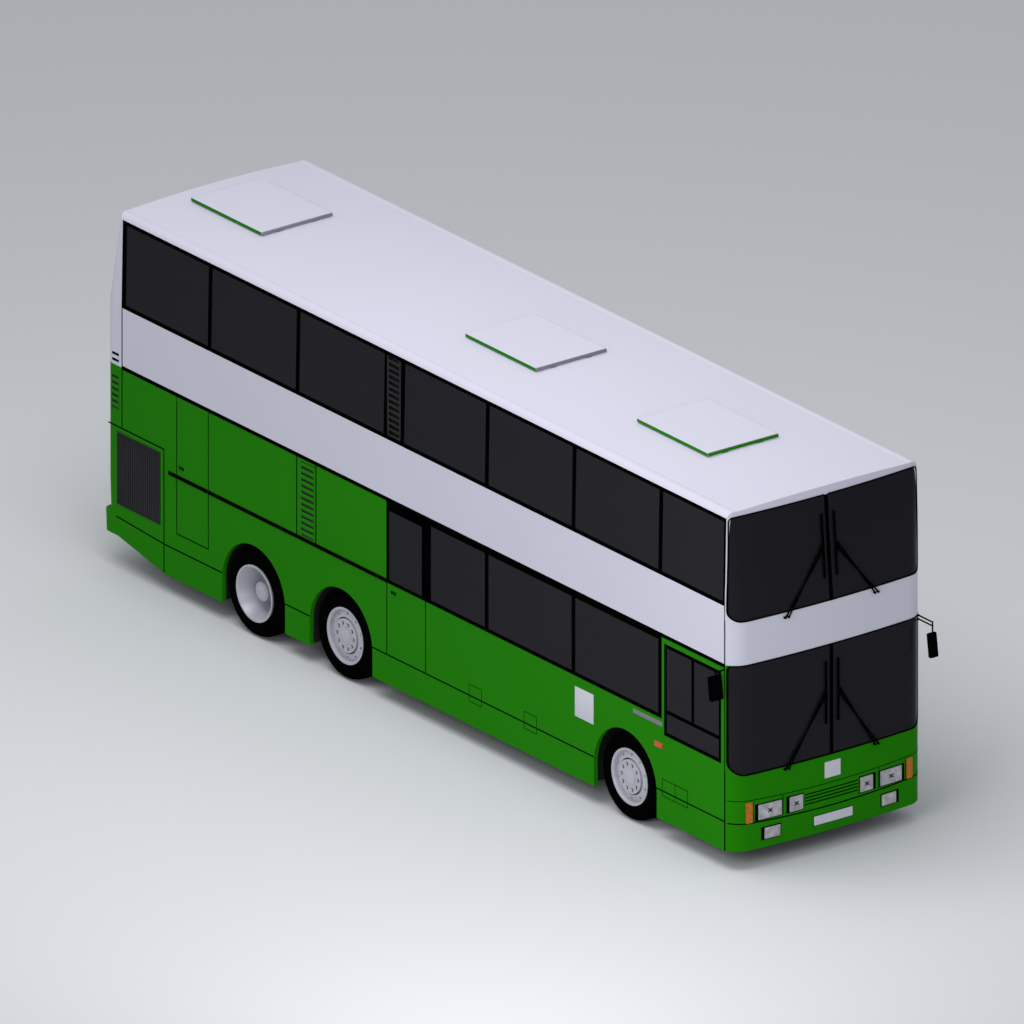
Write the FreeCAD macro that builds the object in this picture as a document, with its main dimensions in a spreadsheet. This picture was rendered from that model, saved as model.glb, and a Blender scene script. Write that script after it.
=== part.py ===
"""Double-deck coach with three axles, in millimetres.

+X points forwards, +Y to the left, +Z up. The origin lies on the ground,
midway along and across the coach. Places along the coach are mostly given as
a distance behind the front seam, where the side walls meet the nose.
"""
import FreeCAD, Part
import math
import os
import re
import Sketcher

Vector = FreeCAD.Vector
Rotation = FreeCAD.Rotation
Placement = FreeCAD.Placement

doc = FreeCAD.newDocument("Coach")
sheet = doc.addObject("Spreadsheet::Sheet", "Sizes")
names = []
nodes = []
RIGHT = "right"
LEFT = "left"
SIDES = (RIGHT, LEFT)
SIGN = {RIGHT: "-1", LEFT: "1"}


def sizes(values):
    """Write driving dimensions into the sheet, one aliased cell each."""
    for name, value in values.items():
        row = len(names) + 1
        sheet.set(f"A{row}", name)
        sheet.set(f"B{row}", str(value))
        sheet.setAlias(f"B{row}", name)
        names.append(name)
    sheet.recompute()


def read(name):
    """Return one size of the sheet as a plain number."""
    return float(getattr(sheet, name))


def qualified(text):
    """Put the sheet's name before each alias of an expression."""
    def replace(match):
        word = match.group(0)
        return f"Sizes.{word}" if word in names else word
    return re.sub(r"[a-z_][a-z0-9_]*", replace, str(text))


def bind(item, prop, text):
    item.setExpression(prop, qualified(text))


def place(item, x="0", y="0", z="0"):
    bind(item, ".Placement.Base.x", x)
    bind(item, ".Placement.Base.y", y)
    bind(item, ".Placement.Base.z", z)


def node(name, item):
    """Give a finished sub-part the label that names its file."""
    item.Label = name
    nodes.append(item)
    return item


def box(name, low, extent):
    """A box by its low corner and its extents, all as expressions."""
    item = doc.addObject("Part::Box", name)
    for prop, text in zip(("Length", "Width", "Height"), extent):
        bind(item, prop, text)
    place(item, *low)
    return item


def slab(name, low, high):
    """A box between two corners, both given as expressions."""
    extent = [f"({b}) - ({a})" for a, b in zip(low, high)]
    return box(name, low, extent)


AXIS_TURNS = {
    "Z": Rotation(Vector(0, 0, 1), 0),
    "Y": Rotation(Vector(1, 0, 0), -90),
    "X": Rotation(Vector(0, 1, 0), 90),
}


def rod(name, start, radius, length, axis="Z"):
    """A cylinder that starts at a point and runs along a main axis."""
    item = doc.addObject("Part::Cylinder", name)
    item.Placement = Placement(Vector(), AXIS_TURNS[axis])
    bind(item, "Radius", radius)
    bind(item, "Height", length)
    place(item, *start)
    return item


def fuse(name, items):
    item = doc.addObject("Part::MultiFuse", name)
    item.Shapes = items
    return item


def cut(name, base, tools):
    item = doc.addObject("Part::Cut", name)
    item.Base = base
    item.Tool = tools[0] if len(tools) == 1 else fuse(name + "Tools", tools)
    return item


def common(name, first, second):
    item = doc.addObject("Part::MultiCommon", name)
    item.Shapes = [first, second]
    return item


def feature(name, shape):
    item = doc.addObject("Part::Feature", name)
    item.Shape = shape
    return item


def draw(body, name, plane, outlines):
    """Sketch closed outlines of straight lines; each corner is two expressions."""
    sketch = body.newObject("Sketcher::SketchObject", name)
    origin_plane = [o for o in body.Origin.OriginFeatures if o.Role == plane][0]
    sketch.AttachmentSupport = [(origin_plane, "")]
    sketch.MapMode = "FlatFace"
    first = 0
    for corners in outlines:
        count = len(corners)
        spread = [Vector(math.cos(2 * math.pi * k / count), math.sin(2 * math.pi * k / count), 0)
                  for k in range(count)]
        for k in range(count):
            sketch.addGeometry(Part.LineSegment(spread[k], spread[(k + 1) % count]), False)
        for k in range(count):
            sketch.addConstraint(Sketcher.Constraint("Coincident", first + k, 2,
                                                     first + (k + 1) % count, 1))
        for k, (across, up) in enumerate(corners):
            for kind, text, value in (("DistanceX", across, spread[k].x),
                                      ("DistanceY", up, spread[k].y)):
                index = sketch.addConstraint(Sketcher.Constraint(kind, -1, 1, first + k, 1, value))
                bind(sketch, f"Constraints[{index}]", text)
        first += count
    return sketch


def padded(name, plane, outlines, length, at=("0", "0", "0")):
    """A body padded from a sketch, evenly to both sides of its plane."""
    body = doc.addObject("PartDesign::Body", name)
    sketch = draw(body, name + "Sketch", plane, outlines)
    pad = body.newObject("PartDesign::Pad", name + "Pad")
    pad.Profile = sketch
    pad.SideType = "Symmetric"
    bind(pad, "Length", length)
    place(body, *at)
    return body


def turned(name, outlines, at=("0", "0", "0"), half_turn=False):
    """A body revolved about the Y axis from a sketch of (along Y, radius) corners."""
    body = doc.addObject("PartDesign::Body", name)
    sketch = draw(body, name + "Sketch", "XY_Plane", [[(r, y) for y, r in o] for o in outlines])
    spin = body.newObject("PartDesign::Revolution", name + "Spin")
    spin.Profile = sketch
    spin.ReferenceAxis = (sketch, ["V_Axis"])
    spin.Angle = 360
    if half_turn:
        body.Placement = Placement(Vector(), Rotation(Vector(0, 0, 1), 180))
    place(body, *at)
    return body


# Body shell
BODY = {
    "half_width": 1250, "seam_x": 5200, "nose_reach": 185, "nose_corner_radius": 240,
    "nose_face_radius": 13000, "nose_rake": 100, "rake_start_z": 2780, "rake_end_z": 3926,
    "tail_length": 10630, "tail_corner_radius": 120, "tail_tuck": 35, "tuck_z": 1000, "tail_lean": 206,
    "skirt_z": 212, "eaves_z": 2980, "cant_z": 3926, "cant_lean": 17, "edge_z": 3982, "edge_inset": 110,
    "crown_z": 4020, "wall": 50, "roof_skin": 45, "margin": 20,
}
sizes(BODY)


def polar(centre, radius, angle):
    return Vector(centre.x + radius * math.cos(angle), centre.y + radius * math.sin(angle), centre.z)


def plan_outline(level, inset):
    """The coach's outline seen from above at one level, moved inwards by inset."""
    rise = level - read("rake_start_z")
    rake = max(0, rise) * read("nose_rake") / (read("rake_end_z") - read("rake_start_z"))
    lean = max(0, level - read("eaves_z")) * read("tail_lean") / (read("crown_z") - read("eaves_z"))
    drop = max(0, read("tuck_z") - level) / (read("tuck_z") - read("skirt_z"))
    half = read("half_width")
    crown = read("seam_x") + read("nose_reach") - rake
    face = read("nose_face_radius")
    corner = read("nose_corner_radius")
    tail_radius = read("tail_corner_radius")
    tail = read("seam_x") - read("tail_length") + lean + drop * read("tail_tuck")
    face_centre = Vector(crown - face, 0, level)
    seam = Vector(read("seam_x"), half, level)
    arm = face - corner
    reach = (seam - face_centre).Length
    share = (arm ** 2 + reach ** 2 - corner ** 2) / (2 * arm * reach)
    meet = math.atan2(half, seam.x - face_centre.x) - math.acos(share)
    corner_centre = polar(face_centre, arm, meet)
    inner_half = half - inset
    across = inner_half - corner_centre.y
    begin = math.asin(across / (corner - inset))
    right = {1: [], -1: []}
    for side in (1, -1):
        middle = Vector(corner_centre.x, side * corner_centre.y, level)
        start = polar(middle, corner - inset, side * begin)
        halfway = polar(middle, corner - inset, side * (begin + meet) / 2)
        end = polar(face_centre, face - inset, side * meet)
        right[side] = [start, halfway, end]
    crown_point = Vector(crown - inset, 0, level)
    tail_centre_x = tail + tail_radius
    round_tail = tail_radius - inset
    edges = [
        Part.Arc(*right[-1]).toShape(),
        Part.Arc(right[-1][2], crown_point, right[1][2]).toShape(),
        Part.Arc(*reversed(right[1])).toShape(),
    ]
    left_centre = Vector(tail_centre_x, half - tail_radius, level)
    right_centre = Vector(tail_centre_x, tail_radius - half, level)
    left_arc = [polar(left_centre, round_tail, math.radians(a)) for a in (90, 135, 180)]
    right_arc = [polar(right_centre, round_tail, math.radians(a)) for a in (180, 225, 270)]
    edges.append(Part.LineSegment(right[1][0], left_arc[0]).toShape())
    edges.append(Part.Arc(*left_arc).toShape())
    edges.append(Part.LineSegment(left_arc[2], right_arc[0]).toShape())
    edges.append(Part.Arc(*right_arc).toShape())
    edges.append(Part.LineSegment(right_arc[2], right[-1][0]).toShape())
    return Part.Wire(edges)


def hull_shape(inset, roof_inset):
    """The whole body's form: its plan at each level, trimmed by its cross-section."""
    top = read("crown_z") + read("margin")
    levels = [read("skirt_z"), read("tuck_z"), read("rake_start_z"), read("eaves_z"), top]
    plan = Part.makeLoft([plan_outline(level, inset) for level in levels], True, True)
    half = read("half_width") - inset
    lean = half - read("cant_lean")
    edge_z = read("edge_z") - roof_inset
    start_x = -read("tail_length")
    low, eaves, cant = read("skirt_z"), read("eaves_z"), read("cant_z")
    near = Vector(start_x, lean - read("edge_inset"), edge_z)
    corner = Vector(start_x, lean, edge_z)
    foot = Vector(start_x, lean, cant)
    middle = (foot + corner * 2 + near) * 0.25
    chain = {}
    for side in (1, -1):
        chain[side] = [Vector(v.x, v.y * side, v.z) for v in (foot, middle, near)]
    sides = [Vector(start_x, side * half, level) for side, level in
             ((1, eaves), (1, low), (-1, low), (-1, eaves))]
    crown = Vector(start_x, 0, read("crown_z") - roof_inset)
    edges = [
        Part.Arc(*chain[1]).toShape(),
        Part.Arc(chain[1][2], crown, chain[-1][2]).toShape(),
        Part.Arc(*reversed(chain[-1])).toShape(),
        Part.LineSegment(chain[-1][0], sides[3]).toShape(),
        Part.LineSegment(sides[3], sides[2]).toShape(),
        Part.LineSegment(sides[2], sides[1]).toShape(),
        Part.LineSegment(sides[1], sides[0]).toShape(),
        Part.LineSegment(sides[0], chain[1][0]).toShape(),
    ]
    section = Part.Face(Part.Wire(edges))
    return plan.common(section.extrude(Vector(2 * read("tail_length"), 0, 0)))


GLASS = {
    "glass_inset": 3, "glass_thickness": 6,
}
sizes(GLASS)
hull = feature("Hull", hull_shape(0, 0))
room = feature("Room", hull_shape(read("wall"), read("roof_skin")))
shell = cut("Shell", hull, [room])
glass_outside = feature("GlassOutside", hull_shape(read("glass_inset"), read("glass_inset")))
glass_back = read("glass_inset") + read("glass_thickness")
glass_inside = feature("GlassInside", hull_shape(glass_back, glass_back))
glass_skin = cut("GlassSkin", glass_outside, [glass_inside])
outside_y = "half_width + margin"
inside_y = "half_width - wall - cant_lean - margin"
nose_x = "seam_x + nose_reach + margin"
tail_x = "seam_x - tail_length - margin"
top_z = "crown_z + margin"


def through(name, side, front, back, low, high):
    """A block through one side wall, between two distances behind the seam."""
    near, far = (f"-({outside_y})", f"-({inside_y})") if side == RIGHT else (inside_y, outside_y)
    return slab(name, (f"seam_x - ({back})", near, low), (f"seam_x - ({front})", far, high))


# Levels and seams of the panels
PANELS = {
    "waist_z": 2280, "window_foot_z": 2947, "lower_sill_z": 1345, "lower_head_z": 2260,
    "tail_seam": 10350, "ramp_start": 9610, "ramp_end": 10420, "ramp_rise": 168, "first_pillar": 1110,
    "bay": 1490, "louvre_front": 5540, "louvre_width": 290, "rear_bay": 1510, "tail_pillar": 10320,
    "window_front": 30, "mullion": 60, "window_foot": 46, "window_head": 44, "sill_strip": 42,
    "arch_radius": 540, "front_axle_back": 1706, "middle_axle_back": 6590, "drive_axle_back": 8090,
    "tyre_radius": 480,
}
sizes(PANELS)
AXLE_BACKS = {"front": "front_axle_back", "middle": "middle_axle_back", "drive": "drive_axle_back"}


def arch(name, side, axle, radius, inner, outer, low="0"):
    """A wheel arch: a half round over the wheel and straight flanks below it."""
    back = AXLE_BACKS[axle]
    near = f"-({outer})" if side == RIGHT else inner
    length = f"({outer}) - ({inner})"
    barrel = rod(name + "Barrel", (f"seam_x - {back}", near, "tyre_radius"), radius, length, "Y")
    flank = box(name + "Flank", (f"seam_x - {back} - ({radius})", near, low),
                (f"2 * ({radius})", length, f"tyre_radius - ({low})"))
    return fuse(name, [barrel, flank])



def side_forms(name, side, spans, low, high):
    """Blocks through one side wall, one for each (front, back) span."""
    return [through(f"{name}{side.title()}{k}", side, front, back, low, high)
            for k, (front, back) in enumerate(spans)]


# Bumpers and the sloping skirt under the tail
BUMPERS = {
    "bumper_stand": 92, "bumper_foot_z": 380, "bumper_head_z": 610, "bumper_wrap": 10180,
    "front_bumper_z": 520,
}
sizes(BUMPERS)
ramp = padded("Ramp", "XZ_Plane", [[
    ("seam_x - ramp_start", "skirt_z - margin"),
    ("seam_x - ramp_start", "skirt_z"),
    ("seam_x - ramp_end", "skirt_z + ramp_rise"),
    ("seam_x - tail_length - bumper_stand - margin", "skirt_z + ramp_rise"),
    ("seam_x - tail_length - bumper_stand - margin", "skirt_z - margin"),
]], "2 * half_width + 2 * margin")

# Windows of both decks
upper_edges = ["window_front - mullion / 2", "first_pillar", "first_pillar + bay", "first_pillar + 2 * bay",
               "louvre_front"]
rear_edges = [f"louvre_front + louvre_width + {k} * rear_bay" for k in range(3)] + ["tail_pillar"]
WINDOWS = {
    "rear_bulkhead": 5830, "driver_front": 60, "driver_back": 1040, "driver_foot_z": 1173,
    "driver_head_z": 2200, "driver_bar_z": 1447, "frame_bar": 40,
}
sizes(WINDOWS)


def panes(edges):
    """Window openings between neighbouring pillar lines, less half a pillar each side."""
    return [(f"{front} + mullion / 2", f"{back} - mullion / 2") for front, back in zip(edges, edges[1:])]


upper_spans = panes(upper_edges) + panes(rear_edges)
lower_spans = {
    RIGHT: panes(["first_pillar", "first_pillar + bay", "first_pillar + 2 * bay", "exit_front - mullion"]),
    LEFT: panes(["first_pillar", "first_pillar + bay", "first_pillar + 2 * bay", "rear_bulkhead"]),
}

# Doors and lids in the side walls, as distances behind the seam
OPENINGS = {
    "exit_front": 5140, "exit_back": 5800, "exit_foot_z": 544, "exit_head_z": 2240,
    "service_front": 8870, "service_back": 9410, "service_foot_z": 730, "service_head_z": 2230,
    "entrance_front": 90, "entrance_back": 1040, "entrance_foot_z": 300, "entrance_head_z": 2200,
    "door_gap": 6, "door_thickness": 44, "louvre_panel_front": 7040, "louvre_panel_back": 7290,
    "louvre_foot_z": 1400, "louvre_head_z": 2230, "tail_louvre_front": 10400, "tail_louvre_back": 10530,
    "tail_louvre_foot_z": 1790, "tail_louvre_head_z": 2240, "grille_front": 9700, "grille_back": 10300,
    "grille_foot_z": 745, "grille_head_z": 1533,
}
sizes(OPENINGS)
upper_band = ("window_foot_z", "cant_z")
upper_opening = ("window_foot_z + window_foot", "cant_z - window_head")
lower_band = ("lower_sill_z", "lower_head_z")
lower_opening = ("lower_sill_z + sill_strip", "lower_head_z - window_head")
side_arches = {side: [arch(f"SideArch{side.title()}{axle.title()}", side, axle, "arch_radius",
                           inside_y, outside_y) for axle in AXLE_BACKS] for side in SIDES}


def wall_region(name, side, low, high, front="0", back="tail_seam"):
    near, far = (f"-({outside_y})", f"-({inside_y})") if side == RIGHT else (inside_y, outside_y)
    return slab(name, (f"seam_x - ({back})", near, low), (f"seam_x - ({front})", far, high))


frames = []
glass = []
for side in SIDES:
    tag = side.title()
    lower = common(f"LowerWall{tag}", shell, wall_region(f"LowerRegion{tag}", side, "skirt_z", "waist_z"))
    band_back = "exit_back" if side == RIGHT else "rear_bulkhead"
    band = through(f"LowerBand{tag}", side, "first_pillar - mullion / 2", band_back, *lower_band)
    openings = [band]
    openings.append(through(f"LouvrePanel{tag}", side, "louvre_panel_front", "louvre_panel_back",
                            "louvre_foot_z", "louvre_head_z"))
    openings.append(through(f"EngineGrille{tag}", side, "grille_front", "grille_back",
                            "grille_foot_z", "grille_head_z"))
    if side == RIGHT:
        openings.append(through("ExitWay", side, "exit_front", "exit_back", "exit_foot_z", "exit_head_z"))
        openings.append(through("ServiceWay", side, "service_front", "service_back",
                                "service_foot_z", "service_head_z"))
        openings.append(through("DriverWay", side, "driver_front", "driver_back",
                                "driver_foot_z", "driver_head_z"))
    else:
        openings.append(through("EntranceWay", side, "entrance_front", "entrance_back",
                                "entrance_foot_z", "entrance_head_z"))
    node(f"side_lower_{side}", cut(f"SideLower{tag}", lower, openings + side_arches[side] + [ramp]))
    upper = common(f"UpperWall{tag}", shell,
                   wall_region(f"UpperRegion{tag}", side, "waist_z", "window_foot_z"))
    node(f"side_upper_{side}", upper)

    upper_holes = side_forms("UpperPane", side, upper_spans, *upper_opening)
    louvre_hole = through(f"UpperLouvre{tag}", side, "louvre_front + mullion / 2",
                          "louvre_front + louvre_width - mullion / 2", *upper_opening)
    band_wall = common(f"UpperBand{tag}", shell, wall_region(f"BandRegion{tag}", side, *upper_band))
    frames.append(cut(f"UpperFrame{tag}", band_wall, upper_holes + [louvre_hole]))
    lower_holes = side_forms("LowerPane", side, lower_spans[side], *lower_opening)
    frame_back = "exit_front" if side == RIGHT else "rear_bulkhead"
    frame_wall = common(f"LowerFrameWall{tag}", shell,
                        wall_region(f"LowerFrameRegion{tag}", side, *lower_band,
                                    "first_pillar - mullion / 2", frame_back))
    frames.append(cut(f"LowerFrame{tag}", frame_wall, lower_holes))
    glass += [common(f"UpperGlass{tag}", glass_skin, fuse(f"UpperHoles{tag}", upper_holes)),
              common(f"LowerGlass{tag}", glass_skin, fuse(f"LowerHoles{tag}", lower_holes))]

# Driver's window: a black frame with a bar and a divider above it
driver_wall = common("DriverWall", shell, wall_region("DriverRegion", RIGHT, "driver_foot_z", "driver_head_z",
                                                      "driver_front", "driver_back"))
driver_middle = "(driver_front + driver_back) / 2"
driver_holes = [
    through("DriverLow", RIGHT, "driver_front + frame_bar", "driver_back - frame_bar", "driver_foot_z + frame_bar",
            "driver_bar_z - frame_bar / 2"),
    through("DriverFore", RIGHT, "driver_front + frame_bar", f"{driver_middle} - frame_bar / 2",
            "driver_bar_z + frame_bar / 2", "driver_head_z - frame_bar"),
    through("DriverAft", RIGHT, f"{driver_middle} + frame_bar / 2", "driver_back - frame_bar",
            "driver_bar_z + frame_bar / 2", "driver_head_z - frame_bar"),
]
frames.append(cut("DriverFrame", driver_wall, driver_holes))
glass.append(common("DriverGlass", glass_skin, fuse("DriverHoles", driver_holes)))

# Nose: bumper, lower front, white band and two wrap-round windscreens
NOSE = {
    "screen_foot_z": 1060, "screen_head_z": 2287, "upper_screen_foot_z": 2780, "screen_wrap": 25,
    "screen_divider": 45,
}
sizes(NOSE)


def nose_slab(name, low, high, start="seam_x"):
    return slab(name, (start, f"-({outside_y})", low), (nose_x, outside_y, high))


front_bumper = node("front_bumper", common("FrontBumper", shell,
                                           nose_slab("BumperRegion", "skirt_z", "front_bumper_z")))
lower_screen = nose_slab("LowerScreen", "screen_foot_z", "screen_head_z", "seam_x + screen_wrap")
upper_screen = nose_slab("UpperScreen", "upper_screen_foot_z", "cant_z", "seam_x + screen_wrap")
node("front_lower", cut("FrontLower", common("FrontLowerWall", shell, nose_slab(
    "FrontLowerRegion", "front_bumper_z", "screen_head_z")), [lower_screen]))
node("front_upper", cut("FrontUpper", common("FrontUpperWall", shell, nose_slab(
    "FrontUpperRegion", "screen_head_z", "cant_z")), [upper_screen]))
for tag, screen, low, high in (("Lower", lower_screen, "screen_foot_z", "screen_head_z"),
                               ("Upper", upper_screen, "upper_screen_foot_z", "cant_z")):
    divider = slab(f"Divider{tag}", ("seam_x", "-screen_divider / 2", low),
                   (nose_x, "screen_divider / 2", high))
    frames.append(common(f"ScreenPost{tag}", shell, divider))
    glass.append(cut(f"Screens{tag}", common(f"Screen{tag}Glass", glass_skin, screen), [divider]))

# Tail: lower panel with the engine cover, upper panel with its window, bumper
TAIL = {
    "cover_half": 930, "cover_foot_z": 650, "cover_head_z": 1560, "tail_window_half": 950,
    "tail_window_foot_z": 3000, "tail_window_head_z": 3700,
}
sizes(TAIL)


def tail_slab(name, low, high, half=outside_y, front="seam_x - tail_seam"):
    return slab(name, (f"{tail_x} - bumper_stand", f"-({half})", low), (front, half, high))


cover_way = tail_slab("CoverWay", "cover_foot_z", "cover_head_z", "cover_half",
                      "seam_x - tail_length + tail_tuck + wall + margin")
tail_louvres = [through(f"TailLouvre{side.title()}", side, "tail_louvre_front", "tail_louvre_back",
                        "tail_louvre_foot_z", "tail_louvre_head_z") for side in SIDES]
node("rear_lower", cut("RearLower", common("RearLowerWall", shell, tail_slab(
    "RearLowerRegion", "skirt_z", "waist_z")), [ramp, cover_way] + tail_louvres))
tail_window = tail_slab("TailWindow", "tail_window_foot_z", "tail_window_head_z", "tail_window_half",
                        "seam_x - tail_length + tail_lean + wall + margin")
node("rear_upper", cut("RearUpper", common("RearUpperWall", shell, tail_slab(
    "RearUpperRegion", "waist_z", "cant_z")), [tail_window]))
glass.append(common("TailGlass", glass_skin, tail_window))
hull_copy = feature("BumperForm", hull.Shape.translated(Vector(-read("bumper_stand"), 0, 0)))
bumper_band = common("BumperBand", hull_copy, tail_slab("BumperBandRegion", "bumper_foot_z",
                                                        "bumper_head_z", outside_y, "seam_x - bumper_wrap"))
node("rear_bumper", cut("RearBumper", bumper_band, [hull]))

# Hinges of the doors and lids: short barrels with a tab back to the leaf
HINGES = {
    "barrel_radius": 7.7, "barrel_offset": 8, "barrel_length": 80, "tab": 5, "tab_reach": 36,
    "door_sill_z": 1387,
}
sizes(HINGES)

# Roof with three hatches: each opening has a raised curb, closed by a lid
HATCHES = {
    "hatch_length": 1200, "hatch_width": 910, "hatch_thickness": 34, "hatch_centre_y": -45,
    "hatch_overlap": 50, "curb": 20, "curb_top_z": 4026, "lid_seat": 0.3,
}
sizes(HATCHES)
HATCH_BACKS = {"front": 1290, "middle": 4240, "rear": 8950}
sizes({f"hatch_{where}_back": back for where, back in HATCH_BACKS.items()})
roof_region = slab("RoofRegion", (f"{tail_x} - bumper_stand", f"-({outside_y})", "cant_z"),
                   (nose_x, outside_y, top_z))
holes = []
curbs = []
for where in HATCH_BACKS:
    front_x = f"seam_x - hatch_{where}_back"
    hole_low = (f"{front_x} - hatch_length + hatch_overlap", "hatch_centre_y - hatch_width / 2 + hatch_overlap",
                "cant_z - roof_skin")
    hole_high = (f"{front_x} - hatch_overlap", "hatch_centre_y + hatch_width / 2 - hatch_overlap", top_z)
    holes.append(slab(f"HatchHole{where.title()}", hole_low, hole_high))
    curb_low = [f"{text} - curb" for text in hole_low[:2]] + ["edge_z - roof_skin + curb"]
    curb_high = [f"{text} + curb" for text in hole_high[:2]] + ["curb_top_z"]
    curbs.append(slab(f"Curb{where.title()}", curb_low, curb_high))
roof_wall = common("RoofWall", shell, roof_region)
node("roof", cut("Roof", fuse("RoofCurbs", [roof_wall] + curbs), holes))
for where in HATCH_BACKS:
    front_x = f"seam_x - hatch_{where}_back"
    tag = where.title()
    lid = slab(f"HatchLid{tag}", (f"{front_x} - hatch_length", "hatch_centre_y - hatch_width / 2",
                                  "curb_top_z + lid_seat"),
               (front_x, "hatch_centre_y + hatch_width / 2", "curb_top_z + lid_seat + hatch_thickness"))
    hinge_z = "curb_top_z + lid_seat + barrel_radius"
    barrels = []
    for k, sign in enumerate("-+"):
        y = f"hatch_centre_y {sign} hatch_width / 4 - barrel_length / 2"
        barrels.append(rod(f"Hatch{tag}Barrel{k}", (f"{front_x} + barrel_offset", y, hinge_z),
                           "barrel_radius", "barrel_length", "Y"))
        barrels.append(slab(f"Hatch{tag}Tab{k}", (front_x, y, f"{hinge_z} - tab / 2"),
                            (f"{front_x} + barrel_offset", f"{y} + barrel_length", f"{hinge_z} + tab / 2")))
    node(f"roof_hatch_{where}", fuse(f"Hatch{tag}", [lid] + barrels))

node("window_frames", fuse("WindowFrames", frames))
node("glazing", fuse("Glazing", glass))

# Grilles: slats or ribs seated in their openings
GRILLES = {
    "slat_pitch": 69, "slat": 24, "slat_depth": 30, "rib_pitch": 38, "rib": 14, "screen_plate": 6,
}
sizes(GRILLES)


def louvre(name, side, front, back, low, high):
    """Flat slats one above another, with a post at each end, seated in one opening."""
    near, far = (("-half_width + glass_inset", "-half_width + glass_inset + slat_depth") if side == RIGHT
                 else ("half_width - glass_inset - slat_depth", "half_width - glass_inset"))
    start, stop = f"seam_x - ({back})", f"seam_x - ({front})"
    pieces = [slab(f"{name}Post{k}", (x, near, low), (f"{x} + slat", far, high))
              for k, x in enumerate((start, f"{stop} - slat"))]
    count = int((value_of(high) - value_of(low) - read("slat")) / read("slat_pitch"))
    for k in range(count + 1):
        level = f"{low} + {k} * slat_pitch"
        pieces.append(slab(f"{name}Slat{k}", (start, near, level), (stop, far, f"{level} + slat")))
    return fuse(name, pieces + [backing(name, side, start, stop, low, high)])


def backing(name, side, start, stop, low, high):
    """The screen behind the slats or ribs of one opening."""
    far = "half_width - glass_inset - slat_depth"
    near, far = (f"-({far})", f"screen_plate - ({far})") if side == RIGHT else (f"{far} - screen_plate", far)
    return slab(f"{name}Screen", (start, near, low), (stop, far, high))


def value_of(text):
    """The value of a sum or difference of sizes."""
    total = 0
    for mark, word in re.findall(r"([+-]?)\s*([a-z_]+)", text):
        total += -read(word) if mark == "-" else read(word)
    return total


def ribbed(name, side, front, back, low, high):
    """Upright ribs between a top and a bottom bar, seated in one opening."""
    near, far = (("-half_width + glass_inset", "-half_width + glass_inset + slat_depth") if side == RIGHT
                 else ("half_width - glass_inset - slat_depth", "half_width - glass_inset"))
    start, stop = f"seam_x - ({back})", f"seam_x - ({front})"
    pieces = [slab(f"{name}Bar{k}", (start, near, z), (stop, far, f"{z} + slat"))
              for k, z in enumerate((low, f"{high} - slat"))]
    count = int((value_of(back) - value_of(front) - read("rib")) / read("rib_pitch"))
    for k in range(count + 1):
        x = f"{start} + {k} * rib_pitch"
        pieces.append(slab(f"{name}Rib{k}", (x, near, low), (f"{x} + rib", far, high)))
    return fuse(name, pieces + [backing(name, side, start, stop, low, high)])


grilles = []
for side in SIDES:
    tag = side.title()
    grilles.append(louvre(f"UpperLouvreSlats{tag}", side, "louvre_front + mullion / 2",
                          "louvre_front + louvre_width - mullion / 2", *upper_opening))
    grilles.append(louvre(f"LowerLouvreSlats{tag}", side, "louvre_panel_front", "louvre_panel_back",
                          "louvre_foot_z", "louvre_head_z"))
    grilles.append(louvre(f"TailLouvreSlats{tag}", side, "tail_louvre_front", "tail_louvre_back",
                          "tail_louvre_foot_z", "tail_louvre_head_z"))
    grilles.append(ribbed(f"EngineRibs{tag}", side, "grille_front", "grille_back",
                          "grille_foot_z", "grille_head_z"))
node("grilles", fuse("Grilles", grilles))

# Floors, bulkhead and wheel arch liners
FLOORS = {
    "floor_z": 620, "floor_thickness": 40, "upper_floor_z": 2500, "upper_floor_thickness": 80,
    "bulkhead_thickness": 30, "liner": 8, "steered_liner_radius": 612, "steered_liner_inner": 600,
    "middle_liner_inner": 880, "drive_liner_inner": 600, "liner_radius": 548, "step_z": 295,
    "step_plate": 20, "step_inner": 700, "axle_slot": 220, "axle_slot_z": 640, "liner_foot_z": 230,
}
sizes(FLOORS)
liner_radius = {"front": "steered_liner_radius", "middle": "liner_radius", "drive": "liner_radius"}
liner_inner = {"front": "steered_liner_inner", "middle": "middle_liner_inner", "drive": "drive_liner_inner"}
inner_wall = "half_width - wall"
liners = []
liner_forms = {}
for side in SIDES:
    for axle in AXLE_BACKS:
        tag = side.title() + axle.title()
        outer_form = arch(f"LinerForm{tag}", side, axle, liner_radius[axle],
                          f"{liner_inner[axle]}", inner_wall, "skirt_z")
        inner_form = arch(f"LinerSpace{tag}", side, axle, f"{liner_radius[axle]} - liner",
                          f"{liner_inner[axle]} + liner", outside_y, "0")
        liner_forms[side, axle] = outer_form
        back = AXLE_BACKS[axle]
        slot = slab(f"AxleSlot{tag}", (f"seam_x - {back} - axle_slot / 2", f"-({inner_wall})", "0"),
                    (f"seam_x - {back} + axle_slot / 2", inner_wall, "axle_slot_z"))
        above = slab(f"LinerRegion{tag}", (f"seam_x - {back} - steered_liner_radius - margin",
                                           f"-({inner_wall})", "liner_foot_z"),
                     (f"seam_x - {back} + steered_liner_radius + margin", inner_wall, "waist_z"))
        liners.append(common(f"LinerTrim{tag}", cut(f"Liner{tag}", outer_form, [inner_form, slot]), above))
node("wheel_boxes", fuse("WheelBoxes", liners))

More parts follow.
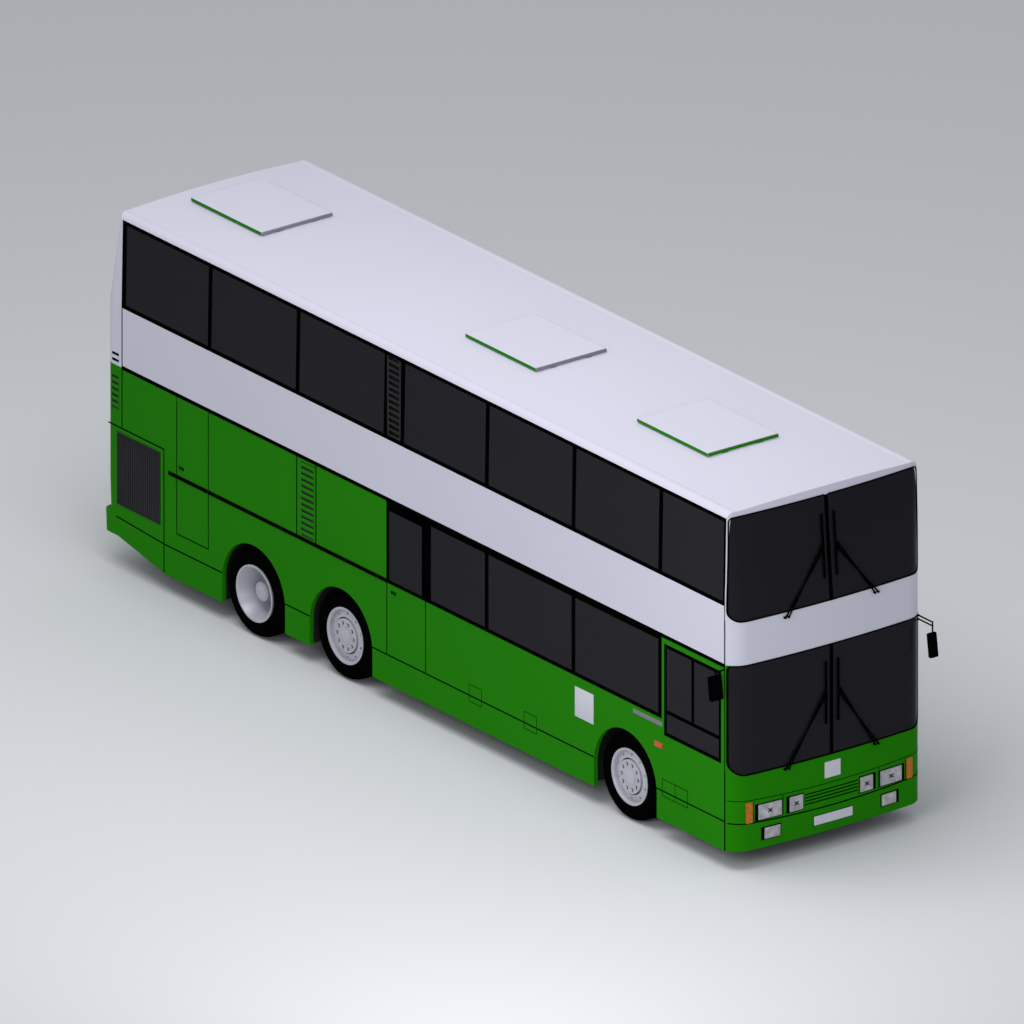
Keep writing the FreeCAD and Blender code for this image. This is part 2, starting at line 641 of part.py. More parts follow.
cabin_back = "seam_x - rear_bulkhead - mullion"
step_low = ("seam_x - entrance_back - wall", "step_inner", "step_z - step_plate")
step_high = ("seam_x - entrance_front + wall / 2", inner_wall, "floor_z")
floor_wall = common("FloorPlate", room, slab("FloorRegion", (cabin_back, f"-({outside_y})",
                    "floor_z - floor_thickness"), (nose_x, outside_y, "floor_z")))
step_form = slab("StepForm", step_low, step_high)
step_space = slab("StepSpace", (f"{step_low[0]} + step_plate", f"{step_low[1]} + step_plate", "step_z"),
                  (f"{step_high[0]} - step_plate", f"{step_high[1]} + margin", "floor_z + margin"))
node("lower_floor", cut("LowerFloor", fuse("FloorWithStep", [floor_wall, step_form]),
                        [step_space, liner_forms[RIGHT, "front"], liner_forms[LEFT, "front"]]))
bulkhead_region = slab("BulkheadRegion", (f"{cabin_back} - bulkhead_thickness", f"-({outside_y})",
                       "floor_z - floor_thickness"), (cabin_back, outside_y,
                       "upper_floor_z - upper_floor_thickness"))
node("bulkhead", common("Bulkhead", room, bulkhead_region))

# Straight stair on the right, behind the driver, climbing forwards
STAIR = {
    "stair_back": 4200, "stair_risers": 8, "tread": 215, "stair_width": 620,
    "stair_plate": 25,
}
sizes(STAIR)
riser = "(upper_floor_z - floor_z) / stair_risers"
stair_start = "seam_x - stair_back"
stair_y = ("-half_width + wall", "-half_width + wall + stair_width")
steps = []
for k in range(1, int(read("stair_risers"))):
    top = f"floor_z + {k} * {riser}"
    left_x = f"{stair_start} + {k - 1} * tread"
    steps.append(slab(f"Tread{k}", (left_x, stair_y[0], f"{top} - stair_plate"),
                      (f"{left_x} + tread + stair_plate", stair_y[1], top)))
    steps.append(slab(f"Riser{k}", (left_x, stair_y[0], f"{top} - {riser} - stair_plate + stair_plate * "
                                    + ("1" if k == 1 else "0")),
                      (f"{left_x} + stair_plate", stair_y[1], top)))
last_x = f"{stair_start} + (stair_risers - 1) * tread"
steps.append(slab("TopRiser", (last_x, stair_y[0], f"upper_floor_z - {riser} - stair_plate"),
                  (f"{last_x} + stair_plate", stair_y[1], "upper_floor_z")))
node("stair", fuse("Stair", steps))
stairwell = slab("Stairwell", (f"{stair_start} + 2 * tread", f"{stair_y[0]} - margin",
                               "upper_floor_z - upper_floor_thickness - margin"),
                 (f"{last_x} + stair_plate", f"{stair_y[1]}", "upper_floor_z + margin"))
upper_plate = common("UpperPlate", room, slab(
    "UpperRegion", (f"{tail_x}", f"-({outside_y})", "upper_floor_z - upper_floor_thickness"),
    (nose_x, outside_y, "upper_floor_z")))
node("upper_floor", cut("UpperFloor", upper_plate, [stairwell]))

# Double seats: one side profile, padded across, standing on two legs
SEATS = {
    "seat_width": 900, "seat_height": 440, "cushion_depth": 430, "cushion": 90, "back_height": 1050,
    "back_thickness": 70, "back_lean": 110, "leg": 40, "leg_depth": 240, "seat_wall_gap": 15,
    "seat_pitch": 760, "upper_rows": 11, "lower_rows": 3, "upper_seats_front": 600,
    "lower_seats_front": 4250,
}
sizes(SEATS)
seat_form = padded("SeatForm", "XZ_Plane", [[
    ("0", "seat_height - cushion"),
    ("cushion_depth", "seat_height - cushion / 2"),
    ("cushion_depth", "seat_height"),
    ("back_thickness", "seat_height"),
    ("back_thickness - back_lean", "back_height"),
    ("-back_lean", "back_height"),
]], "seat_width")
seat_leg = box("SeatLeg", ("back_thickness", "-leg / 2", "0"), ("leg_depth", "leg", "seat_height - cushion / 2"))
seat = fuse("Seat", [seat_form, seat_leg])
doc.recompute()


def seat_block(name, places):
    """Copies of the double seat, each lifted to its floor."""
    return node(name, feature(name.title().replace("_", ""),
                              Part.makeCompound([seat.Shape.translated(v) for v in places])))


seat_y = read("half_width") - read("wall") - read("seat_wall_gap") - read("seat_width") / 2
upper_places = []
for row in range(int(read("upper_rows"))):
    x = read("seam_x") - read("upper_seats_front") - read("cushion_depth") - row * read("seat_pitch")
    for side in (-1, 1):
        on_stairs = side == -1 and x - read("back_lean") < read("seam_x") - read("stair_back") + (
            read("stair_risers") * read("tread")) + read("wall") and x + read("cushion_depth") > (
            read("seam_x") - read("stair_back"))
        if not on_stairs:
            upper_places.append(Vector(x, side * seat_y, read("upper_floor_z")))
seat_block("seats_upper", upper_places)
lower_places = []
for row in range(int(read("lower_rows"))):
    x = read("seam_x") - read("lower_seats_front") - read("cushion_depth") - (row - 1) * read("seat_pitch")
    for side in (-1, 1):
        if row > 0 or side == 1:
            lower_places.append(Vector(x, side * seat_y, read("floor_z")))
seat_block("seats_lower", lower_places)

# Driver's seat, dashboard and steering wheel
DRIVER_PLACE = {
    "driver_seat_x": 4150, "driver_y": -780, "driver_width": 480, "dash_back_x": 4720,
    "dash_front_x": 5080, "dash_foot_z": 620, "dash_head_z": 1160, "dash_left_y": -300,
    "dash_right_y": -1150, "wheel_ring": 220, "wheel_rim": 17, "wheel_x": 4640, "wheel_z": 1260,
    "column": 28, "wheel_tilt": 25,
}
sizes(DRIVER_PLACE)
driver_form = padded("DriverSeatForm", "XZ_Plane", [[
    ("0", "seat_height - cushion"), ("cushion_depth", "seat_height - cushion"),
    ("cushion_depth", "seat_height"), ("back_thickness", "seat_height"),
    ("back_thickness - back_lean", "back_height"), ("-back_lean", "back_height"),
]], "driver_width", ("driver_seat_x", "driver_y", "floor_z"))
driver_leg = box("DriverLeg", ("driver_seat_x + back_thickness", "driver_y - leg_depth / 2", "floor_z"),
                 ("leg_depth", "leg_depth", "seat_height - cushion / 2"))
node("driver_seat", fuse("DriverSeat", [driver_form, driver_leg]))
dash = padded("DashForm", "XZ_Plane", [[
    ("dash_back_x + leg_depth / 2", "dash_foot_z"), ("dash_front_x", "dash_foot_z"),
    ("dash_front_x", "dash_head_z"), ("dash_back_x + cushion", "dash_head_z"),
    ("dash_back_x", "dash_head_z - cushion"), ("dash_back_x", "dash_head_z - 2 * cushion"),
]], "dash_left_y - dash_right_y", ("0", "(dash_left_y + dash_right_y) / 2", "0"))
ring = doc.addObject("Part::Torus", "WheelRing")
bind(ring, "Radius1", "wheel_ring")
bind(ring, "Radius2", "wheel_rim")
spokes = [box("SpokeAcross", ("-wheel_rim", "-wheel_ring", "-wheel_rim / 2"),
              ("2 * wheel_rim", "2 * wheel_ring", "wheel_rim")),
          box("SpokeAhead", ("0", "-wheel_rim", "-wheel_rim / 2"), ("wheel_ring", "2 * wheel_rim", "wheel_rim"))]
COLUMN = {
    "column_length": 260,
}
sizes(COLUMN)


def steering_pose(item):
    """Lean an item about the steering column's foot and lift it to the driver."""
    item.Placement = Placement(Vector(), Rotation(Vector(0, -1, 0), read("wheel_tilt")))
    bind(item, ".Placement.Rotation.Angle", "wheel_tilt")
    place(item, "wheel_x", "driver_y", "wheel_z")
    return item


column_form = rod("Column", ("0", "0", "-column_length"), "column", "column_length")
steering = node("steering_wheel", steering_pose(fuse("SteeringWheel", [ring, column_form] + spokes)))
node("dashboard", cut("Dashboard", dash, [steering]))

# Chassis: two rails that rise over the rear axles, joined by cross members
RAILS = {
    "rail_y": 450, "rail_width": 60, "rail_foot_z": 450, "rail_front_x": 5000, "rail_kick": 200,
    "kick_length": 320, "rail_tail": 10400, "cross_depth": 120, "cross_height": 90,
}
sizes(RAILS)
kick_front = "rear_bulkhead + mullion + bulkhead_thickness + margin"
rail_outline = [
    ("rail_front_x", "rail_foot_z"), ("rail_front_x", "floor_z - floor_thickness"),
    (f"seam_x - ({kick_front})", "floor_z - floor_thickness"),
    (f"seam_x - ({kick_front} + kick_length)", "floor_z - floor_thickness + rail_kick"),
    ("seam_x - rail_tail", "floor_z - floor_thickness + rail_kick"),
    ("seam_x - rail_tail", "rail_foot_z + rail_kick"),
    (f"seam_x - ({kick_front} + kick_length)", "rail_foot_z + rail_kick"),
    (f"seam_x - ({kick_front})", "rail_foot_z"),
]
members = []
for side in SIDES:
    members.append(padded(f"Rail{side.title()}", "XZ_Plane", [rail_outline], "rail_width",
                          ("0", f"{SIGN[side]} * rail_y", "0")))
CROSS_MEMBERS = {
    "cross_first": 500, "cross_second": 2700, "cross_third": 4300, "cross_fourth": 5500,
    "cross_fifth": 7340, "engine_front": 9000, "engine_back": 10200, "engine_foot_z": 360,
    "engine_head_z": 1240,
}
sizes(CROSS_MEMBERS)
LIFTS = {"cross_first": "0", "cross_second": "0", "cross_third": "0", "cross_fourth": "0",
         "cross_fifth": "rail_kick"}
for name, lift in LIFTS.items():
    reach = inner_wall if name in ("cross_third", "cross_fifth") else "rail_y"
    members.append(box(name.title().replace("_", ""),
                       (f"seam_x - {name}", f"-({reach})", f"rail_foot_z + frame_bar / 2 + {lift}"),
                       ("cross_depth", f"2 * ({reach})", "cross_height")))
node("chassis_frame", fuse("ChassisFrame", members))
node("engine", slab("Engine", ("seam_x - engine_back", "-rail_y + rail_width / 2", "engine_foot_z"),
                    ("seam_x - engine_front", "rail_y - rail_width / 2", "engine_head_z")))

# Front axle beam with kingpin eyes and air springs up to the rails
FRONT_AXLE = {
    "kingpin_y": 900, "kingpin": 22, "kingpin_play": 0.05, "eye": 45, "eye_height": 120,
    "beam_depth": 90, "beam_foot_z": 290, "beam_height": 90, "beam_bend_y": 600, "beam_end_y": 860,
    "spring": 85, "play": 5, "lug_height": 30, "yoke": 35, "spindle": 35, "spindle_end_y": 1172,
    "axle_play": 0.05,
}
sizes(FRONT_AXLE)
front_x = "seam_x - front_axle_back"
beam_top = "beam_foot_z + beam_height"
bend = [("beam_bend_y", "beam_foot_z"), ("beam_end_y", "tyre_radius - beam_height / 2"),
        ("beam_end_y", "tyre_radius + beam_height / 2"), ("beam_bend_y", beam_top)]
beam = padded("Beam", "YZ_Plane", [bend + [(f"-{y}", z) for y, z in reversed(bend)]], "beam_depth",
              (front_x, "0", "0"))
eyes = []
pin_holes = []
springs = []
for side in SIDES:
    tag = side.title()
    y = f"{SIGN[side]} * kingpin_y"
    eyes.append(rod(f"Eye{tag}", (front_x, y, "tyre_radius - eye_height / 2"), "eye", "eye_height"))
    pin_holes.append(rod(f"PinHole{tag}", (front_x, y, "tyre_radius - eye_height"),
                         "kingpin + kingpin_play", "2 * eye_height"))
    springs.append(rod(f"Spring{tag}", (front_x, f"{SIGN[side]} * rail_y", beam_top),
                       "spring", f"rail_foot_z - ({beam_top})"))
node("front_axle", cut("FrontAxle", fuse("FrontAxleForm", [beam] + eyes + springs), pin_holes))

# Steering knuckles: a fork on the kingpin and a spindle out to the wheel
fork_y = "kingpin_y + eye + play"
for side in SIDES:
    tag = side.title()
    y = f"{SIGN[side]} * kingpin_y"
    yoke_y = f"-({fork_y} + yoke)" if side == RIGHT else fork_y
    web_y = f"-({fork_y})" if side == RIGHT else "kingpin_y"
    low = "tyre_radius - eye_height / 2 - play - lug_height"
    high = "tyre_radius + eye_height / 2 + play"
    pieces = [slab(f"Yoke{tag}", (f"{front_x} - eye", yoke_y, low),
                   (f"{front_x} + eye", f"{yoke_y} + yoke", f"{high} + lug_height")),
              rod(f"Pin{tag}", (front_x, y, low), "kingpin", f"{high} + lug_height - ({low})")]
    for where, z in (("Low", low), ("High", high)):
        pieces.append(rod(f"Lug{where}{tag}", (front_x, y, z), "eye", "lug_height"))
        pieces.append(box(f"Web{where}{tag}", (f"{front_x} - eye", web_y, z),
                          ("2 * eye", f"{fork_y} - kingpin_y", "lug_height")))
    spindle_y = "-spindle_end_y" if side == RIGHT else fork_y
    pieces.append(rod(f"Spindle{tag}", (front_x, spindle_y, "tyre_radius"), "spindle",
                      f"spindle_end_y - ({fork_y})", "Y"))
    node(f"knuckle_{side}", fuse(f"Knuckle{tag}", pieces))

# Rear axles: tubes with stub ends, air springs up to the rails
REAR_AXLES = {
    "axle_tube": 80, "drive_case": 170, "drive_case_width": 260, "middle_tube_end": 960,
    "drive_tube_end": 690, "stub": 48, "middle_stub_end": 1172, "drive_stub_end": 1075,
}
sizes(REAR_AXLES)
rear_parts = []
for axle in ("middle", "drive"):
    x = f"seam_x - {axle}_axle_back"
    tag = axle.title()
    rear_parts.append(rod(f"Tube{tag}", (x, f"-{axle}_tube_end", "tyre_radius"), "axle_tube",
                          f"2 * {axle}_tube_end", "Y"))
    rear_parts.append(rod(f"Stub{tag}", (x, f"-{axle}_stub_end", "tyre_radius"), "stub",
                          f"2 * {axle}_stub_end", "Y"))
    for side in SIDES:
        rear_parts.append(rod(f"Spring{tag}{side.title()}", (x, f"{SIGN[side]} * rail_y", "tyre_radius"),
                              "spring", "rail_foot_z + rail_kick - tyre_radius"))
rear_parts.append(rod("DriveCase", ("seam_x - drive_axle_back", "-drive_case_width / 2", "tyre_radius"),
                      "drive_case", "drive_case_width", "Y"))
node("rear_axles", fuse("RearAxles", rear_parts))

# Wheels: corners are (outwards from the wheel's middle, radius)
WHEELS = {
    "wheel_y": 1070, "rim_half": 128, "flange": 310, "flange_width": 14, "barrel": 292,
    "barrel_inside": 280, "disc_in": 60, "disc_out": 78, "hub_in": -72, "hub_radius": 80,
    "ring_out": 124, "ring_radius": 185, "hub_cap": 110, "tread_half": 120, "tyre_half": 143,
    "sidewall": 390, "twin_y": 945, "twin_half": 300, "twin_disc": 20, "twin_hub_out": 150,
    "twin_hub_in": -250, "twin_hub_radius": 95, "twin_gap": 26,
}
sizes(WHEELS)
single_rim = [
    ("hub_in", "spindle_bore"), ("hub_in", "hub_radius"), ("disc_in", "hub_radius"),
    ("disc_in", "barrel_inside"), ("-rim_half", "barrel_inside"), ("-rim_half", "flange"),
    ("flange_width - rim_half", "flange"), ("flange_width - rim_half", "barrel"),
    ("rim_half - flange_width", "barrel"), ("rim_half - flange_width", "flange"),
    ("rim_half", "flange"), ("rim_half", "barrel_inside"), ("disc_out", "barrel_inside"),
    ("disc_out", "ring_radius"), ("ring_out", "ring_radius"), ("ring_out", "0"),
    ("hub_cap", "0"), ("hub_cap", "spindle_bore"),
]
twin_rim = [
    ("twin_hub_in", "spindle_bore"), ("twin_hub_in", "twin_hub_radius"), ("-twin_disc", "twin_hub_radius"),
    ("-twin_disc", "barrel_inside"), ("-twin_half", "barrel_inside"), ("-twin_half", "flange"),
    ("flange_width - twin_half", "flange"), ("flange_width - twin_half", "barrel"),
    ("twin_half - flange_width", "barrel"), ("twin_half - flange_width", "flange"),
    ("twin_half", "flange"), ("twin_half", "barrel_inside"), ("0", "barrel_inside"),
    ("0", "twin_hub_radius"), ("twin_hub_out", "twin_hub_radius"), ("twin_hub_out", "0"),
    ("twin_hub_out - flange_width", "0"), ("twin_hub_out - flange_width", "spindle_bore"),
]


def tyre_outline(centre, bead_half):
    """One tyre's section about its own middle: bead, bulged sidewall and tread."""
    half = [(bead_half, "barrel"), (bead_half, "flange + flange_width"),
            ("tyre_half", "sidewall"), ("tread_half", "tyre_radius")]
    outer = [(f"{centre} + {y}", r) for y, r in half]
    inner = [(f"{centre} - ({y})", r) for y, r in reversed(half)]
    return outer + inner


def with_bore(outline, bore):
    return [(y, r.replace("spindle_bore", bore)) for y, r in outline]


for axle, back in AXLE_BACKS.items():
    bore = "spindle + axle_play" if axle == "front" else "stub + axle_play"
    for side in SIDES:
        tag = f"{axle.title()}{side.title()}"
        twin = axle == "drive"
        at = (f"seam_x - {back}", f"{SIGN[side]} * {'twin_y' if twin else 'wheel_y'}", "tyre_radius")
        rim = with_bore(twin_rim if twin else single_rim, bore)
        node(f"rim_{axle}_{side}", turned(f"Rim{tag}", [rim], at, side == RIGHT))
        bead = "rim_half - flange_width"
        if twin:
            pair = [turned(f"Tyre{tag}{k}", [tyre_outline(f"{sign} * (twin_gap / 2 + tyre_half)", bead)],
                           at, side == RIGHT) for k, sign in enumerate(("-1", "1"))]
            node(f"tyre_{axle}_{side}", fuse(f"Tyre{tag}", pair))
        else:
            node(f"tyre_{axle}_{side}", turned(f"Tyre{tag}", [tyre_outline("0", bead)], at, side == RIGHT))

# Doors and lids


def hinge_barrels(name, x, heights):
    """Upright hinge barrels outside the right wall with tabs back onto the door's face."""
    items = []
    for k, z in enumerate(heights):
        items.append(rod(f"{name}Barrel{k}", (x, "-half_width - barrel_offset", z), "barrel_radius",
                         "barrel_length"))
        items.append(box(f"{name}Tab{k}", (f"{x} - tab_reach", "-half_width - tab", z),
                         ("tab_reach", "tab", "barrel_length")))
    return items


def side_door(name, front, back, low, high):
    """A flush door on the right side, hinged at its front edge outside the wall."""
    leaf = slab(f"{name}Leaf", (f"seam_x - {back} + door_gap", "-half_width", f"{low} + door_gap"),
                (f"seam_x - {front} - door_gap", "-half_width + door_thickness", f"{high} - door_gap"))
    return leaf, hinge_barrels(name, f"seam_x - {front}",
                               [f"{low} + 2 * barrel_length", f"{high} - 3 * barrel_length"])


leaf, barrels = side_door("Exit", "exit_front", "exit_back", "exit_foot_z", "exit_head_z")
exit_hole = through("ExitHole", RIGHT, "exit_front + mullion", "exit_back - frame_bar", "door_sill_z",
                    "exit_head_z - 2 * frame_bar")
node("emergency_door", fuse("EmergencyDoor", [cut("ExitPanel", leaf, [exit_hole])] + barrels))
node("emergency_door_glass", common("ExitGlass", glass_skin, exit_hole))
leaf, barrels = side_door("Service", "service_front", "service_back", "service_foot_z", "service_head_z")
node("service_door", fuse("ServiceDoor", [leaf] + barrels))

# Engine cover, hinged along its top edge
cover_leaf = common("CoverLeaf", shell, tail_slab("CoverRegion", "cover_foot_z + door_gap",
                    "cover_head_z - door_gap", "cover_half - door_gap",
                    "seam_x - tail_length + tail_tuck + wall + margin"))
cover_barrels = []
for k, y in enumerate(("-cover_half / 2", "cover_half / 2 - barrel_length")):
    cover_barrels.append(rod(f"CoverBarrel{k}", ("seam_x - tail_length - barrel_offset", y, "cover_head_z"),
                             "barrel_radius", "barrel_length", "Y"))
    cover_barrels.append(box(f"CoverTab{k}", ("seam_x - tail_length - tab", y, "cover_head_z - tab_reach"),
                             ("tab", "barrel_length", "tab_reach")))
node("engine_cover", fuse("EngineCover", [cover_leaf] + cover_barrels))

# Entrance: two leaves that fold inwards; the front leaf hangs on the front pillar
ENTRANCE = {
    "leaf_thickness": 38, "leaf_gap": 12, "leaf_frame": 60, "leaf_sill": 700, "fold_offset": 6,
    "fold_barrel": 5.7,
}
sizes(ENTRANCE)
entry_front = "seam_x - entrance_front"
leaf_pitch = "(entrance_back - entrance_front - 2 * leaf_gap) / 2"
leaf_face = "half_width - glass_inset"
hinge_x = f"{entry_front} - leaf_gap / 2"
fold_x = f"{hinge_x} - {leaf_pitch}"
spans = {
    "front": (f"{fold_x} + leaf_gap / 2", f"{hinge_x} - leaf_gap / 2"),
    "rear": (f"{fold_x} - {leaf_pitch} + leaf_gap / 2", f"{fold_x} - leaf_gap / 2"),
}
leaf_foot = "entrance_foot_z + door_gap"
leaf_head = "entrance_head_z - door_gap"
for where, (low_x, high_x) in spans.items():
    tag = where.title()
    panel = slab(f"Entrance{tag}Panel", (low_x, f"{leaf_face} - leaf_thickness", leaf_foot),
                 (high_x, leaf_face, leaf_head))
    pane = slab(f"Entrance{tag}Pane", (f"{low_x} + leaf_frame", f"{leaf_face} - leaf_thickness - margin",
                                       "leaf_sill"),
                (f"{high_x} - leaf_frame", f"{leaf_face} + margin", f"{leaf_head} - leaf_frame"))
    pieces = [cut(f"Entrance{tag}Frame", panel, [pane])]
    if where == "front":
        pieces.append(rod("EntrancePost", (hinge_x, f"{leaf_face} - leaf_thickness", leaf_foot),
                          "leaf_gap / 2 - lid_seat", f"{leaf_head} - ({leaf_foot})"))
        pieces.append(slab("FoldLip", (f"{fold_x} - lid_seat", f"{leaf_face} - tab", "leaf_sill"),
                           (low_x, leaf_face, "leaf_sill + 13 * barrel_length")))
        pieces.append(slab("EntrancePostWeb", (f"{hinge_x} - leaf_gap / 2 - tab", f"{leaf_face} - leaf_thickness",
                                               leaf_foot),
                           (hinge_x, f"{leaf_face} - leaf_thickness + tab", leaf_head)))
    else:
        for k, z in enumerate(("leaf_sill", "leaf_sill + 6 * barrel_length", "leaf_sill + 12 * barrel_length")):
            pieces.append(rod(f"FoldBarrel{k}", (fold_x, f"{leaf_face} + fold_offset", z),
                              "fold_barrel", "barrel_length"))
            pieces.append(slab(f"FoldTab{k}", (f"{fold_x} - tab_reach / 2", leaf_face, z),
                               (fold_x, f"{leaf_face} + tab / 2", f"{z} + barrel_length")))
    node(f"entrance_{where}_leaf", fuse(f"Entrance{tag}Leaf", pieces))
    glass_low = f"{leaf_face} - leaf_thickness / 2 - glass_thickness / 2"
    node(f"entrance_{where}_glass", slab(f"Entrance{tag}Glass", (f"{low_x} + leaf_frame", glass_low, "leaf_sill"),
                                         (f"{high_x} - leaf_frame", f"{glass_low} + glass_thickness",
                                          f"{leaf_head} - leaf_frame")))

# Lamps: blocks that follow the nose and tail, a little proud of the panels
LAMPS = {
    "lamp_stand": 8, "head_y": 785, "head_width": 310, "head_z": 525, "head_height": 180,
    "small_y": 455, "small_width": 190, "blinker_y": 1040, "blinker_width": 80, "blinker_z": 500,
    "blinker_height": 245, "fog_y": 756, "fog_width": 213, "fog_z": 301, "fog_height": 130,
    "tail_lamp_y": 1080, "tail_lamp_width": 110, "tail_lamp_z": 760, "tail_lamp_height": 420,
}
sizes(LAMPS)
front_skin = cut("FrontSkin", feature("FrontForm", hull.Shape.translated(Vector(read("lamp_stand"), 0, 0))),
                 [hull])
tail_skin = cut("TailSkin", feature("TailForm", hull.Shape.translated(Vector(-read("lamp_stand"), 0, 0))),
                [hull])


def lamp_set(name, lamps, skin, low_x, high_x):
    blocks = []
    for k, (middle, width, foot, height) in enumerate(lamps):
        for side in SIDES:
            y = f"{SIGN[side]} * {middle}"
            blocks.append(slab(f"{name}{k}{side.title()}", (low_x, f"{y} - {width} / 2", foot),
                               (high_x, f"{y} + {width} / 2", f"{foot} + {height}")))
    return common(name, skin, fuse(name + "Blocks", blocks))


node("headlamps", lamp_set("Headlamps", [("head_y", "head_width", "head_z", "head_height"),
                                         ("small_y", "small_width", "head_z", "head_height"),
                                         ("fog_y", "fog_width", "fog_z", "fog_height")],
                           front_skin, "seam_x", nose_x))
node("indicators", lamp_set("Indicators", [("blinker_y", "blinker_width", "blinker_z", "blinker_height")],
                            front_skin, "seam_x", nose_x))
node("rear_lamps", lamp_set("RearLamps", [("tail_lamp_y", "tail_lamp_width", "tail_lamp_z",
                                           "tail_lamp_height")], tail_skin, tail_x, "seam_x - tail_seam"))

# Mirrors: the right one on a short arm out, the left one on an arm ahead of the corner
MIRRORS = {
    "mirror_width": 165, "mirror_height": 270, "mirror_depth": 60, "mirror_arm": 11,
    "right_mirror_y": -1370, "right_mirror_z": 2065, "left_mirror_y": 1258, "left_mirror_z": 1985,
    "mirror_arm_z": 2240, "left_arm_ahead": 262,
}
sizes(MIRRORS)
mirrors = []
for tag, x, y, z in (("Right", "seam_x - mirror_depth / 2", "right_mirror_y", "right_mirror_z"),
                     ("Left", "seam_x + left_arm_ahead - mirror_depth / 2", "left_mirror_y", "left_mirror_z")):
    mirrors.append(box(f"MirrorHead{tag}", (x, f"{y} - mirror_width / 2", f"{z} - mirror_height / 2"),
                       ("mirror_depth", "mirror_width", "mirror_height")))
    mirrors.append(rod(f"MirrorDrop{tag}", (f"{x} + mirror_depth / 2", y, f"{z} + mirror_height / 2 - mirror_arm"),
                       "mirror_arm", f"mirror_arm_z - ({z} + mirror_height / 2) + mirror_arm"))
mirrors.append(rod("MirrorArmRight", ("seam_x", "right_mirror_y - mirror_arm", "mirror_arm_z"), "mirror_arm",
                   "-half_width - right_mirror_y + mirror_arm + mirror_arm", "Y"))
mirrors.append(rod("MirrorArmLeft", ("seam_x", "left_mirror_y", "mirror_arm_z"), "mirror_arm",
                   "left_arm_ahead + mirror_arm", "X"))
node("mirrors", cut("Mirrors", fuse("MirrorForms", mirrors), [hull]))

# Wipers: an arm up from below each half screen to an upright blade
WIPERS = {
    "wiper": 9, "wiper_stand": 14, "wiper_root_y": 420, "wiper_blade_y": 60, "wiper_blade_length": 760,
    "lower_wiper_root_z": 1000, "lower_wiper_top_z": 1800, "upper_wiper_root_z": 2740,
    "upper_wiper_top_z": 3480,
}
sizes(WIPERS)
wipers = []
for deck in ("lower", "upper"):
    rise = read(f"{deck}_wiper_top_z") - read(f"{deck}_wiper_root_z")
    run = read("wiper_root_y") - read("wiper_blade_y")
    for side in SIDES:
        sign = float(SIGN[side])
        tag = deck.title() + side.title()
        angle = math.degrees(math.atan2(run, rise)) * sign
        arm = rod(f"WiperArm{tag}", ("0", "0", "0"), "wiper", str(math.hypot(run, rise)))
        arm.Placement = Placement(Vector(), Rotation(Vector(1, 0, 0), angle))
        place(arm, "seam_x + nose_reach + wiper_stand", f"{SIGN[side]} * wiper_root_y", f"{deck}_wiper_root_z")
        wipers.append(arm)
        wipers.append(rod(f"WiperBlade{tag}", ("seam_x + nose_reach + wiper_stand",
                      f"{SIGN[side]} * wiper_blade_y", f"{deck}_wiper_top_z - wiper_blade_length / 2"),
                      "wiper", "wiper_blade_length"))
        wipers.append(rod(f"WiperRoot{tag}", ("seam_x + nose_reach - wall",
                      f"{SIGN[side]} * wiper_root_y", f"{deck}_wiper_root_z"), "wiper",
                      "wiper_stand + wall", "X"))
node("wipers", cut("Wipers", fuse("WiperForms", wipers), [hull]))

doc.recompute()
failed = [item.Name for item in doc.Objects if {"Invalid", "Error"} & set(item.State)]
broken = [item.Label for item in nodes if item.Shape.isNull() or not item.Shape.isValid()]
if failed or broken:
    raise RuntimeError(f"failed: {failed}, broken: {broken}")
os.makedirs("parts", exist_ok=True)
for item in nodes:
    item.Shape.exportStep(f"parts/{item.Label}.step")
print(len(nodes), "sub-parts written")
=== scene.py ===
"""Finishes and fine detail of a double-deck coach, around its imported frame. Metres, +X forwards, +Z up."""
import math

import bmesh
import bpy
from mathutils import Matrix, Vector


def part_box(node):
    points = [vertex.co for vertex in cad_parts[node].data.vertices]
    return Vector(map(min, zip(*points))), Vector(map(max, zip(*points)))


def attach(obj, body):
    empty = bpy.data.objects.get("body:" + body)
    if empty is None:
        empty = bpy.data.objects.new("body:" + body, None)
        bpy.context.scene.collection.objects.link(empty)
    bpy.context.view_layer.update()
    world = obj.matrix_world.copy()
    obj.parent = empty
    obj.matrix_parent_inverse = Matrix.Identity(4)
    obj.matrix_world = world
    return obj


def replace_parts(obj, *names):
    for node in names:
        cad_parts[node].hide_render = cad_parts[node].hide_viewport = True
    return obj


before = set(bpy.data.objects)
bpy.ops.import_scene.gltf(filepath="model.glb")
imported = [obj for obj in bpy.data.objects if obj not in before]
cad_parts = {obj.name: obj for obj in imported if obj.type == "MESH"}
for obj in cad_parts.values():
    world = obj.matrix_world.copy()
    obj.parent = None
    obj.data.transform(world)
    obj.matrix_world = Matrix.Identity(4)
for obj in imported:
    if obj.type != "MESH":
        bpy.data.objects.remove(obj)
bpy.ops.object.select_all(action="DESELECT")
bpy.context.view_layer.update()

# Camera
# The picture is a parallel view that looks down on the front right corner. Its frame is
# 10.6 m wide.
view_azimuth = math.radians(52.9)
view_elevation = math.radians(22.0)
frame_width = 10.61
view_target = Vector((-0.105, 0, 1.988))
view_distance = 40
view_depth = 90
towards_camera = Vector((math.sin(view_azimuth) * math.cos(view_elevation),
                         -math.cos(view_azimuth) * math.cos(view_elevation), math.sin(view_elevation)))
camera_data = bpy.data.cameras.new("view")
camera_data.type = "ORTHO"
camera_data.ortho_scale = frame_width
camera_data.clip_start = 1
camera_data.clip_end = view_distance + view_depth
camera = bpy.data.objects.new("view", camera_data)
bpy.context.scene.collection.objects.link(camera)
camera.location = view_target + towards_camera * view_distance
camera.rotation_euler = towards_camera.to_track_quat("Z", "Y").to_euler()
bpy.context.scene.camera = camera

